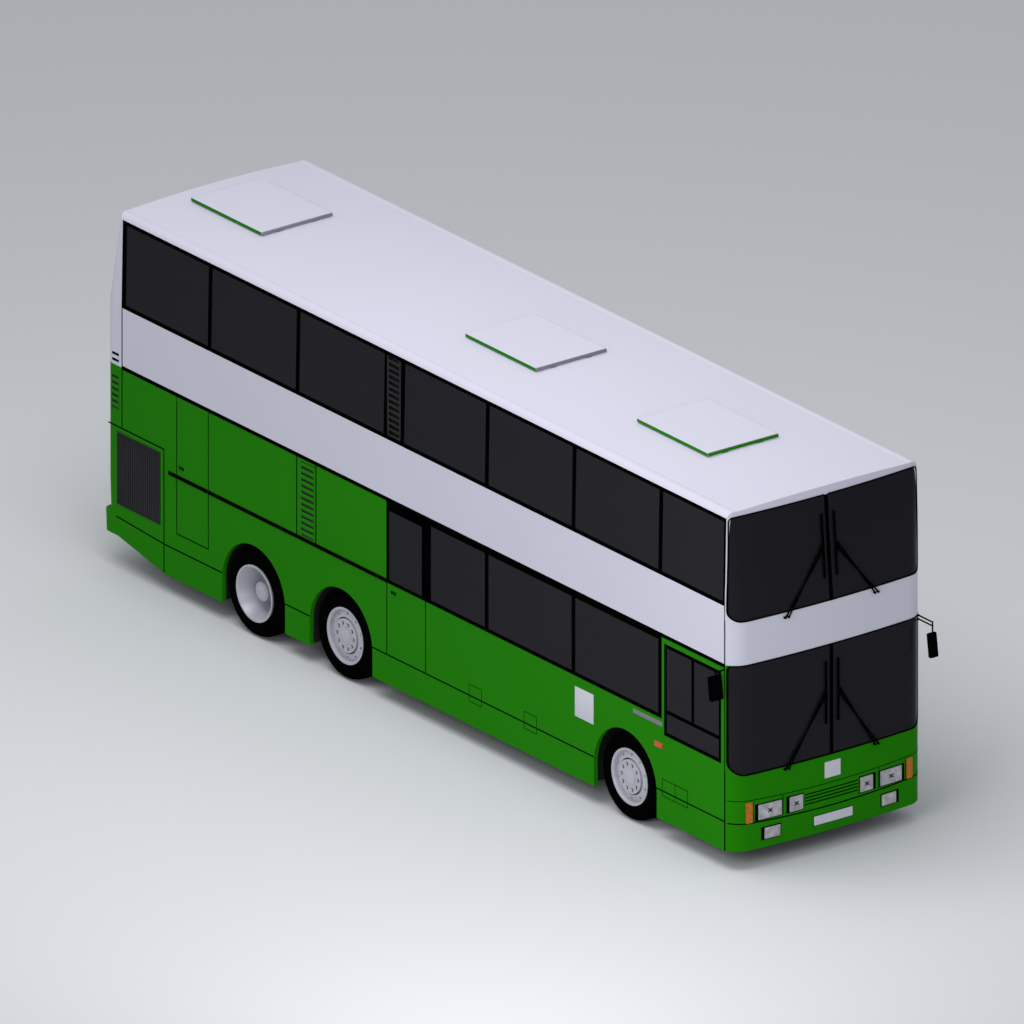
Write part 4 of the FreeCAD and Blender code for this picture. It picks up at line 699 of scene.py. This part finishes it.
for side in SIDES:
    blinkers.append(nose_form(side * 1.040, 0.632, 0.080, 0.226, 0.008, 0.009))
    for k in range(7):
        blinkers.append(nose_form(side * 1.040, 0.546 + k * 0.029, 0.068, 0.018, 0.004, 0.0115))
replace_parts(gather("indicator_lenses", blinkers, orange_lens), "indicators")

# Wipers
# Two parallel arms swing from pivots below each half of a windscreen and carry an upright
# blade. All of it is steel sprayed black, with a rubber edge on the blade.
wiper_black = finish("wiper_black", (0.0012, 0.0012, 0.0012), 0.2, 8, 0.8, 300, 0.0002, shine=0.0)


def bar_form(foot, head, radius, sides=10):
    """A round bar between two points, its ends eased."""
    foot, head = Vector(foot), Vector(head)
    turn = (head - foot).to_track_quat("Z", "Y").to_euler()
    return drum((foot + head) / 2, radius, (head - foot).length, sides, turn, radius / 4)


def nose_point(y, z, stand):
    """A point a little ahead of the nose."""
    place = nose_cast.ray_cast(Vector((ahead_x, y, z)), Vector((-1, 0, 0)))[1]
    return place + Vector((stand, 0, 0))


wiper_forms = []
for pivot_z, joint_z in ((1.028, 1.765), (2.722, 3.385)):
    for side in SIDES:
        for pivot_y, drop in ((0.560, 0.0), (0.604, 0.062)):
            pivot = nose_point(side * pivot_y, pivot_z, 0.022)
            wiper_forms.append(bar_form(pivot, nose_point(side * 0.105, joint_z - drop, 0.022), 0.009))
            root, tip = pivot - Vector((0.03, 0, 0)), pivot + Vector((0.01, 0, 0))
            wiper_forms.append(bar_form(root, tip, 0.013, 16))
        middle = nose_point(side * 0.092, joint_z - 0.031, 0.022)
        half = Vector((0.007, 0.021, 0.046))
        wiper_forms.append(block(middle - half, middle + half, 0.003))
        foot, head = [nose_point(side * 0.080, joint_z + reach, 0.018) for reach in (-0.35, 0.35)]
        wiper_forms.append(bar_form(foot, head, 0.012))
        inset = Vector((0.013, 0, 0.01))
        wiper_forms.append(bar_form(foot - inset + Vector((0, 0, 0.02)), head - inset, 0.004, 8))
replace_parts(gather("wiper_arms", wiper_forms, wiper_black), "wipers")
bpy.data.objects.remove(nose_cast)

# Mirrors
# Black plastic shells on steel arms, rounded behind; each holds a flat glass on its rear face.
mirror_glass = finish("mirror_glass", (0.55, 0.57, 0.60), 0.03, 1, 0.06, 40, 0.00002, metal=1.0, shine=0.5)
mirror_tilt = math.radians(8)
mirror_deep, mirror_tall = 0.050, 0.270
glasses = []
shells = []
for x, y, z, wide in ((seam_x, -1.370, 2.065, 0.165), (seam_x + 0.250, 1.262, 1.985, 0.110)):
    middle = Vector((x, y, z))
    half = Vector((mirror_deep / 2, wide / 2, mirror_tall / 2))
    shell = reopen(block(middle - half, middle + half, 0.016))
    pick(shell, "FACE", lambda face: face.normal.x > 0.99)
    bpy.ops.mesh.inset(thickness=0.018)
    bpy.ops.transform.translate(value=(0.012, 0, 0))
    bpy.ops.mesh.select_mode(type="VERT")
    bpy.ops.mesh.select_all(action="SELECT")
    bpy.ops.transform.rotate(value=mirror_tilt, orient_axis="Y", center_override=middle)
    shells.append(end(shell))
    back = middle - mirror_deep / 2 * Vector((math.cos(mirror_tilt), 0, math.sin(mirror_tilt)))
    size = Vector((0.002, wide / 2 - 0.012, mirror_tall / 2 - 0.014))
    glasses.append(block(back - size, back + size, 0.0015, (0, -mirror_tilt, 0)))
    shells.append(bar_form((x, y, z + mirror_tall / 2 - 0.012), (x, y, 2.250), 0.009))
right_mirror = Vector((seam_x, -1.370, 2.240))
shells.append(bar_form(right_mirror, right_mirror + Vector((0, 0.119, 0)), 0.009))
for z in (2.240, 2.198):
    shells.append(bar_form((seam_x + 0.004, 1.262, z), (seam_x + 0.250, 1.262, z), 0.009))
    shells.append(bar_form((seam_x + 0.010, 1.235, z), (seam_x + 0.010, 1.268, z), 0.014))
gather("mirror_glasses", glasses, mirror_glass)
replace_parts(gather("mirror_shells", shells, wiper_black), "mirrors")

# Wheels and tyres
# Pressed steel rims sprayed silver, held by ten nuts, or by twelve where the tyres are twins,
# with a plain cap over the middle; black radial tyres with four grooves and notched shoulders.
silver = finish("silver", (0.50, 0.50, 0.56), 0.04, 6, 0.4, 500, 0.0002, metal=0.2, shine=0.3)
dull_silver = finish("dull_silver", (0.33, 0.33, 0.36), 0.06, 12, 0.45, 500, 0.0003, metal=0.2, shine=0.2)
# Black for the washers under the nuts of single rims, and painted shade for the groove round their raised
# disc.
washer_black_groove_shade = finish("washer_black_groove_shade", (0.006, 0.006, 0.006), 0.2, 20, 0.7, 500, 0.0002, shine=0.05)
rubber = finish("rubber", (0.0014, 0.0014, 0.0014), 0.2, 8, 0.95, 300, 0.0008, shine=0.0)
axle_x = {"front": seam_x - 1.706, "middle": seam_x - 6.590, "drive": seam_x - 8.090}
axle_z = 0.480
tyre_half, tyre_middle, tyre_tall = 0.143, 0.386, 0.094
squareness = 3.2


def squared(share):
    return math.copysign(abs(share) ** (2 / squareness), share)


def spun(profile, x, steps):
    """A section spun about an axle, left open. Its corners are (outwards, radius), facing right."""
    form = begin(bpy.ops.mesh.primitive_circle_add, vertices=len(profile), radius=1, location=(x, 0, axle_z))
    shape = bmesh.from_edit_mesh(form.data)
    for vertex, (out, radius) in zip(shape.verts, profile):
        vertex.co = Vector((x, RIGHT * out, axle_z + radius))
    bmesh.update_edit_mesh(form.data)
    bpy.ops.mesh.spin(steps=steps, angle=math.radians(360), center=(x, 0, axle_z), axis=(0, 1, 0))
    bpy.ops.mesh.select_all(action="SELECT")
    bpy.ops.mesh.remove_doubles(threshold=0.0001)
    bpy.ops.mesh.normals_make_consistent(inside=False)
    return form


def tyre_form(x):
    """A tyre: a squared ring section spun about the axle, with grooves and shoulder notches."""
    turns = [2 * math.pi * k / 48 for k in range(48)]
    profile = [(tyre_half * squared(math.cos(turn)), tyre_middle + tyre_tall * squared(math.sin(turn)))
               for turn in turns]
    form = spun(profile, x, 72)

    def groove(face):
        middle = face.calc_center_median()
        turn = int(round((math.degrees(math.atan2(middle.z - axle_z, middle.x - x)) - 2.5) / 5))
        reach = math.hypot(middle.x - x, middle.z - axle_z)
        return reach > 0.452 and inner < abs(middle.y) < outer and turn % nth == 0

    for inner, outer, nth in ((0.041, 0.060, 1), (0.079, 0.092, 1), (0.093, 0.128, 2)):
        pick(form, "FACE", groove)
        bpy.ops.mesh.inset(thickness=0.003)
        bpy.ops.transform.shrink_fatten(value=-0.009)
    return end(form)


def moved_copy(form, step):
    """A copy of a finished form with its own mesh, moved by a step."""
    copy = own_copy(form.name, form.data)
    for vertex in copy.data.vertices:
        vertex.co += Vector(step)
    return copy


def nut_form(x, y, z, side):
    """A hexagon nut on its washer, with the stud's end standing through it."""
    return [drum((x, y + side * (foot + head) / 2, z), radius, head - foot, corners, ease=(head - foot) / 5)
            for corners, radius, foot, head in ((20, 0.0185, 0.0, 0.004), (6, 0.0145, 0.003, 0.017),
                                                (12, 0.006, 0.015, 0.022))]


def hoop(centre, turn, major, minor, around):
    """A round hoop, closed both ways."""
    return end(begin(bpy.ops.mesh.primitive_torus_add, location=centre, rotation=turn, major_radius=major,
                     minor_radius=minor, major_segments=around, minor_segments=8))


def cap_form(x, y, z, side, radius, rise):
    """A pressed cap: its rim inset and its middle raised into a low crown."""
    form = begin(bpy.ops.mesh.primitive_cylinder_add, vertices=40, radius=radius, depth=rise,
                 location=(x, y + side * rise / 2, z), rotation=ACROSS)
    pick(form, "FACE", lambda face: face.normal.y * side > 0.9)
    bpy.ops.mesh.inset(thickness=radius / 8)
    bpy.ops.transform.translate(value=(0, side * rise / 2, 0))
    bpy.ops.mesh.inset(thickness=radius / 2)
    bpy.ops.transform.translate(value=(0, side * rise / 3, 0))
    return end(form)


single_rim = ((-0.072, 0.047), (-0.072, 0.080), (0.060, 0.080), (0.060, 0.280), (-0.128, 0.280),
              (-0.128, 0.310), (-0.114, 0.310), (-0.114, 0.292), (0.114, 0.292), (0.114, 0.310),
              (0.128, 0.310), (0.128, 0.292), (0.116, 0.280), (0.084, 0.276), (0.108, 0.204),
              (0.104, 0.198), (0.074, 0.196), (0.074, 0.185), (0.121, 0.185), (0.124, 0.182),
              (0.124, 0.002), (0.110, 0.002), (0.110, 0.047))
twin_rim = ((-0.250, 0.047), (-0.250, 0.095), (-0.020, 0.095), (-0.020, 0.280), (-0.300, 0.280),
            (-0.300, 0.310), (-0.286, 0.310), (-0.286, 0.292), (0.0, 0.292), (0.0, 0.219), (0.250, 0.292),
            (0.286, 0.292), (0.286, 0.310), (0.300, 0.310), (0.300, 0.292), (0.284, 0.280), (0.026, 0.205),
            (0.026, 0.165), (0.013, 0.165), (0.013, 0.130), (0.026, 0.130), (0.026, 0.105), (0.199, 0.105),
            (0.205, 0.098), (0.205, 0.002), (0.191, 0.002), (0.191, 0.047))
vent_ring, vent_radius, vents = 0.242, 0.013, 10


def pierce(form, x):
    """Cut the round vent holes through the dished part of a rim."""
    cutters = []
    for k in range(vents):
        turn = 2 * math.pi * (k + 0.5) / vents
        across, up = vent_ring * math.cos(turn), vent_ring * math.sin(turn)
        cutters.append(drum((x + across, RIGHT * 0.098, axle_z + up), vent_radius, 0.10, 20))
    cutter = joined(cutters)
    applied(form, "BOOLEAN", operation="DIFFERENCE", object=cutter)
    bpy.data.objects.remove(cutter)
    return form


def placed_rim(form, x_from, x, side, out):
    """A copy of a rim at its wheel, turned about for the left side."""
    copy = own_copy(form.name, form.data)
    for vertex in copy.data.vertices:
        vertex.co.x = x - side * (vertex.co.x - x_from)
        vertex.co.y = side * (out - vertex.co.y)
    return copy


first_x = axle_x["front"]
first_single = pierce(end(spun(single_rim, first_x, 80)), first_x)
first_twin = end(spun(twin_rim, first_x, 80))
first_tyre = tyre_form(first_x)
twin_step = 0.156
for axle, x in axle_x.items():
    twin = axle == "drive"
    first_rim = first_twin if twin else first_single
    out, disc, ring_radius, count, start = 1.070, 0.124, 0.140, 10, 0
    if twin:
        out, disc, ring_radius, count, start = 0.945, 0.013, 0.147, 12, 0.5
    for side in SIDES:
        tag = f"{axle}_{SIDE_NAMES[side]}"
        body = f"wheel_{tag}"
        rim = placed_rim(first_rim, first_x, x, side, out)
        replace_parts(gather(f"dish_{tag}", [rim], silver, body, 35), f"rim_{tag}")
        places = [side * (out + step) for step in ((-twin_step, twin_step) if twin else (0,))]
        tyres = [moved_copy(first_tyre, (x - first_x, y, 0)) for y in places]
        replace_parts(gather(f"tread_{tag}", tyres, rubber, body, 40), f"tyre_{tag}")
        washers, fixings = [], []
        for k in range(count):
            turn = 2 * math.pi * (k + start) / count
            washer, nut, stud = nut_form(x + ring_radius * math.cos(turn), side * (out + disc),
                                         axle_z + ring_radius * math.sin(turn), side)
            washers.append(washer)
            fixings += [nut, stud]
        if twin:
            gather(f"hub_nuts_{tag}", washers + fixings, dull_silver, body)
            cap = cap_form(x, side * (out + 0.205), axle_z, side, 0.086, 0.006)
        else:
            # A black ring laid in the groove round the raised disc is painted shade: it darkens the groove as
            # its shadow would.
            groove_shade_ring = hoop((x, side * (out + 0.082), axle_z), ACROSS, 0.1915, 0.0062, 72)
            gather(f"wheel_nuts_{tag}", fixings, silver, body)
            gather(f"washers_groove_shade_{tag}", washers + [groove_shade_ring], washer_black_groove_shade, body)
            cap = cap_form(x, side * (out + disc), axle_z, side, 0.090, 0.006)
        gather(f"hub_cap_{tag}", [cap], silver, body)
for spare in (first_tyre, first_single, first_twin):
    bpy.data.objects.remove(spare)

# Cabin linings and floors
# Vinyl glued to the floors and the stair, and grey moulded linings screwed over the bulkhead
# and the dashboard.
floor_vinyl = finish("floor_vinyl", (0.10, 0.10, 0.11), 0.15, 6, 0.7, 250, 0.0008)
lining = finish("lining", (0.22, 0.22, 0.23), 0.08, 4, 0.6, 700, 0.0004)
coat(floor_vinyl, "floor_grey", "lower_floor", "upper_floor", "stair")
coat(lining, "cabin_grey", "bulkhead", "dashboard")

# Seats
# Double seats: foam cushions in sewn moquette covers, on shells of grey plastic with a grab
# rail along the top, each pair on a pressed steel leg. The driver's seat is on a box.
moquette = finish("moquette", (0.035, 0.06, 0.16), 0.45, 60, 0.9, 900, 0.0012, shine=0.1)
shell_grey = finish("shell_grey", (0.10, 0.10, 0.11), 0.08, 8, 0.55, 500, 0.0004)
cover_step, cover_frames = 0.028, 20
swell_limit = 0.010
seat_gap = 0.012
back_lean, back_thick, seat_deep, seat_top = 0.110, 0.070, 0.430, 0.440
back_top = 1.050


def stuffed(low, high, edge):
    """A foam block in a cloth cover, which swells a little until its seams hold it."""
    form = applied(block(low, high, edge), "REMESH", mode="VOXEL", voxel_size=cover_step)
    shapes = [vertex.co.copy() for vertex in form.data.vertices]
    cover = form.modifiers.new("cover", "CLOTH")
    cover.settings.quality = 5
    cover.settings.use_pressure = True
    cover.settings.uniform_pressure_force = 4
    cover.settings.effector_weights.gravity = 0
    cover.point_cache.frame_start = 1
    cover.point_cache.frame_end = cover_frames
    for step in range(cover_frames):
        bpy.context.scene.frame_set(step + 1)
    bpy.ops.object.modifier_apply(modifier=cover.name)
    bpy.context.scene.frame_set(1)
    for vertex, start in zip(form.data.vertices, shapes):
        moved = vertex.co - start
        if moved.length > swell_limit:
            vertex.co = start + moved * (swell_limit / moved.length)
    return form


def leaned(form, foot):
    """Lean an upright form back, by the share of its height over the seat."""
    for vertex in form.data.vertices:
        vertex.co.x -= back_lean * max(0, vertex.co.z - foot) / (back_top - foot)
    return form


def seat_parts(width, places):
    """The padded parts and the hard parts of one seat, standing at the origin."""
    soft = []
    each = width / places
    edge = swell_limit + 0.002
    for k in range(places):
        near = -width / 2 + k * each + seat_gap / 2 + edge
        far = near + each - seat_gap - 2 * edge
        soft.append(stuffed((back_thick, near, seat_top - 0.085 + edge),
                            (seat_deep - edge, far, seat_top - edge), 0.028))
        soft.append(leaned(stuffed((0.016 + edge, near, seat_top - 0.02),
                                   (back_thick - edge + 0.012, far, back_top - edge), 0.022), seat_top))
    half = width / 2 - 0.004
    shell = block((0.001, -half, seat_top - 0.06), (0.014, half, back_top - 0.012), 0.006)
    pan = block((0.004, -half, seat_top - 0.090), (seat_deep - 0.02, half, seat_top - 0.074), 0.006)
    rail_x, rail_z = 0.012 - back_lean, back_top - 0.016
    rail = bar_form((rail_x, -width / 2 + 0.03, rail_z), (rail_x, width / 2 - 0.03, rail_z), 0.010)
    return soft, [leaned(shell, seat_top), pan, rail]


def leg_parts():
    """A pressed leg on a foot plate, under the middle of a seat."""
    post = block((0.13, -0.018, 0.0), (0.26, 0.018, seat_top - 0.080), 0.008)
    foot = block((0.075, -0.020, 0.0), (0.305, 0.020, 0.008), 0.003)
    return [post, foot]


def copies(forms, places):
    return [moved_copy(form, place) for place in places for form in forms]


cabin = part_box("seats_upper")
seat_width = 0.900
seat_y = cabin[1].y - seat_width / 2
deck_z = {"upper": cabin[0].z, "lower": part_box("seats_lower")[0].z}
stair_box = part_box("stair")
row_pitch = 0.760
rows = {"upper": [], "lower": []}
for row in range(11):
    x = seam_x - 1.030 - row * row_pitch
    for side in SIDES:
        past_stair = x - back_lean >= stair_box[1].x + 0.05 or x + seat_deep <= stair_box[0].x
        if side == LEFT or past_stair:
            rows["upper"].append((x, side * seat_y, deck_z["upper"]))
for row in range(3):
    x = seam_x - 4.680 - (row - 1) * row_pitch
    for side in SIDES:
        if row > 0 or side == LEFT:
            rows["lower"].append((x, side * seat_y, deck_z["lower"]))
soft, hard = seat_parts(seat_width, 2)
hard += leg_parts()
spares = soft + hard
for deck, places in rows.items():
    pads = gather(f"seat_pads_{deck}", copies(soft, places), moquette, "coach", 60)
    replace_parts(pads, f"seats_{deck}")
    gather(f"seat_shells_{deck}", copies(hard, places), shell_grey)
driver_low, driver_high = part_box("driver_seat")
driver_place = Vector((driver_low.x + back_lean, (driver_low.y + driver_high.y) / 2, driver_low.z))
soft, hard = seat_parts(driver_high.y - driver_low.y, 1)
hard.append(block((0.07, -0.12, 0.0), (0.31, 0.12, seat_top - 0.085), 0.010))
hard.append(bar_form((0.20, -0.12, 0.25), (0.20, -0.19, 0.28), 0.008))
pads = gather("driver_pads", copies(soft, [driver_place]), moquette, "coach", 60)
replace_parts(pads, "driver_seat")
gather("driver_shell", copies(hard, [driver_place]), shell_grey)
for form in spares + soft + hard:
    bpy.data.objects.remove(form)

# Instruments and driver's controls
# A moulded binnacle on the dashboard holds the rings of four dials. A row of switches is
# pressed into the dashboard beside it.
dash_low, dash_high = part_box("dashboard")
dial_face = finish("dial_face", (0.015, 0.015, 0.016), 0.3, 60, 0.3, 500, 0.0001, shine=0.4)
panel_x = dash_low.x + 0.020
hood = block((panel_x, -1.02, dash_high.z - 0.010), (panel_x + 0.22, -0.54, dash_high.z + 0.085), 0.03)
dials = [hood]
for k in range(4):
    centre = (panel_x - 0.002, -0.96 + k * 0.12, dash_high.z + 0.040)
    dials.append(hoop(centre, (0, math.radians(90), 0), 0.040, 0.004, 28))
for k in range(8):
    y = -0.50 + k * 0.024
    dials.append(block((dash_low.x + 0.10, y, dash_high.z - 0.002),
                       (dash_low.x + 0.125, y + 0.016, dash_high.z + 0.008), 0.003))
gather("instruments", dials, dial_face)

# Handrails
# Steel tubes from floor to ceiling beside the entrance, at the stair head and along the aisle,
# and a low rail behind the upper windscreen.
rail_steel = finish("rail_steel", (0.35, 0.35, 0.36), 0.05, 10, 0.3, 500, 0.0001, metal=0.8)
rails = []
tops = {"lower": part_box("upper_floor")[0].z, "upper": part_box("roof")[0].z}
for x, y, deck in ((4.10, 0.62, "lower"), (3.00, -0.42, "lower"), (1.90, 0.25, "lower"),
                   (2.72, -0.50, "upper"), (0.92, -0.50, "upper"), (-1.10, 0.22, "upper")):
    foot, head = deck_z[deck] + 0.002, tops[deck] - 0.002
    rails.append(bar_form((x, y, foot), (x, y, head), 0.016, 16))
    for z in (foot + 0.004, head - 0.004):
        rails.append(drum((x, y, z), 0.034, 0.008, 20, (0, 0, 0)))
front_rail = deck_z["upper"] + 0.62
rails.append(bar_form((4.93, -1.05, front_rail), (4.93, 1.05, front_rail), 0.016, 16))
for y in (-1.0, 0.0, 1.0):
    rails.append(bar_form((4.93, y, deck_z["upper"] + 0.002), (4.93, y, front_rail), 0.014, 12))
gather("handrails", rails, rail_steel)

# Running gear and engine
# Rails, axles and knuckles of welded steel sprayed with black chassis paint, and a cast-iron
# engine on them.
chassis_paint = finish("chassis_paint", (0.012, 0.012, 0.012), 0.25, 5, 0.7, 300, 0.0006)
coat(chassis_paint, "chassis_black", "wheel_boxes", "chassis_frame", "front_axle", "knuckle_right",
     "knuckle_left", "rear_axles")
cast_iron = finish("cast_iron", (0.09, 0.085, 0.08), 0.3, 8, 0.75, 220, 0.0012, metal=0.4)
coat(cast_iron, "engine_iron", "engine")

# Roof hatches
# Each white lid has an edge band folded down round it, green but for a grey front edge on
# the middle and rear lids.
edge_grey = finish("edge_grey", (0.22, 0.22, 0.25), 0.05, 8, 0.5, 300, 0.0002, shine=0.1)
band_out = 0.003
for where in ("front", "middle", "rear"):
    low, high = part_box(f"roof_hatch_{where}")
    back, front = low.x, high.x - 0.0157
    foot, head = high.z - 0.033, high.z - 0.0005
    near, far = low.y - band_out, high.y + band_out
    sides = [block((back - band_out, near, foot), (front + band_out, low.y - 0.0002, head), 0.001),
             block((back - band_out, high.y + 0.0002, foot), (front + band_out, far, head), 0.001),
             block((back - band_out, near, foot), (back - 0.0002, far, head), 0.001)]
    fore = block((high.x + 0.0002, near, foot), (high.x + band_out, far, head), 0.001)
    if where == "front":
        sides.append(fore)
    else:
        gather(f"hatch_edge_{where}", [fore], edge_grey, f"roof_hatch_{where}")
    gather(f"hatch_band_{where}", sides, green_paint, f"roof_hatch_{where}")

# Tail fittings
# Rubber holds the tail window. Fine joints mark the engine cover, which two turn-locks hold,
# and each tail lamp has five moulded lenses.
tail_x = -5.8
tail_cast = cast("tail_cast", "rear_lower", "rear_upper", "glazing", "roof", "engine_cover", "rear_bumper",
                 "rear_lamps")


def tail_form(form, longest, cuts, stand):
    """Lay a flat form onto the tail and give it its thickness."""
    return thicken(lay(divide(form, longest, cuts), tail_cast, 0.0), stand)


cover_low, cover_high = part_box("engine_cover")
cover_ring = ring((tail_x, 0, (cover_low.z + cover_high.z) / 2), cover_high.y - cover_low.y + 0.03,
                  cover_high.z - cover_low.z + 0.03, 0.012, 0.009, "behind", 3)
gather("engine_cover_joint", [tail_form(cover_ring, 0.4, 24, 0.002)], sealant)
tail_gasket = divide(ring((tail_x, 0, 3.350), 1.928, 0.728, 0.05, 0.028, "behind"), 0.4, 30)
gather("tail_window_gasket", [tail_form(tail_gasket, 0.2, 8, 0.004)], rubber_black)
lens_ribs = []
lamp_low, lamp_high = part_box("rear_lamps")
for side in SIDES:
    for k in range(5):
        z = lamp_low.z + 0.045 + k * (lamp_high.z - lamp_low.z - 0.012) / 5
        rib = plate((tail_x, side * 1.080, z), 0.098, 0.074, 0.006, "behind", 2)
        lens_ribs.append(tail_form(rib, 0.05, 3, 0.003))
gather("rear_lens_panels", lens_ribs, red_lens)
bpy.data.objects.remove(tail_cast)
lock_z = cover_low.z + 0.10
locks = [bar_form((cover_low.x - 0.004, y, lock_z), (cover_low.x + 0.05, y, lock_z), 0.018, 20)
         for y in (-0.70, 0.70)]
gather("engine_cover_locks", locks, moulding, "engine_cover")
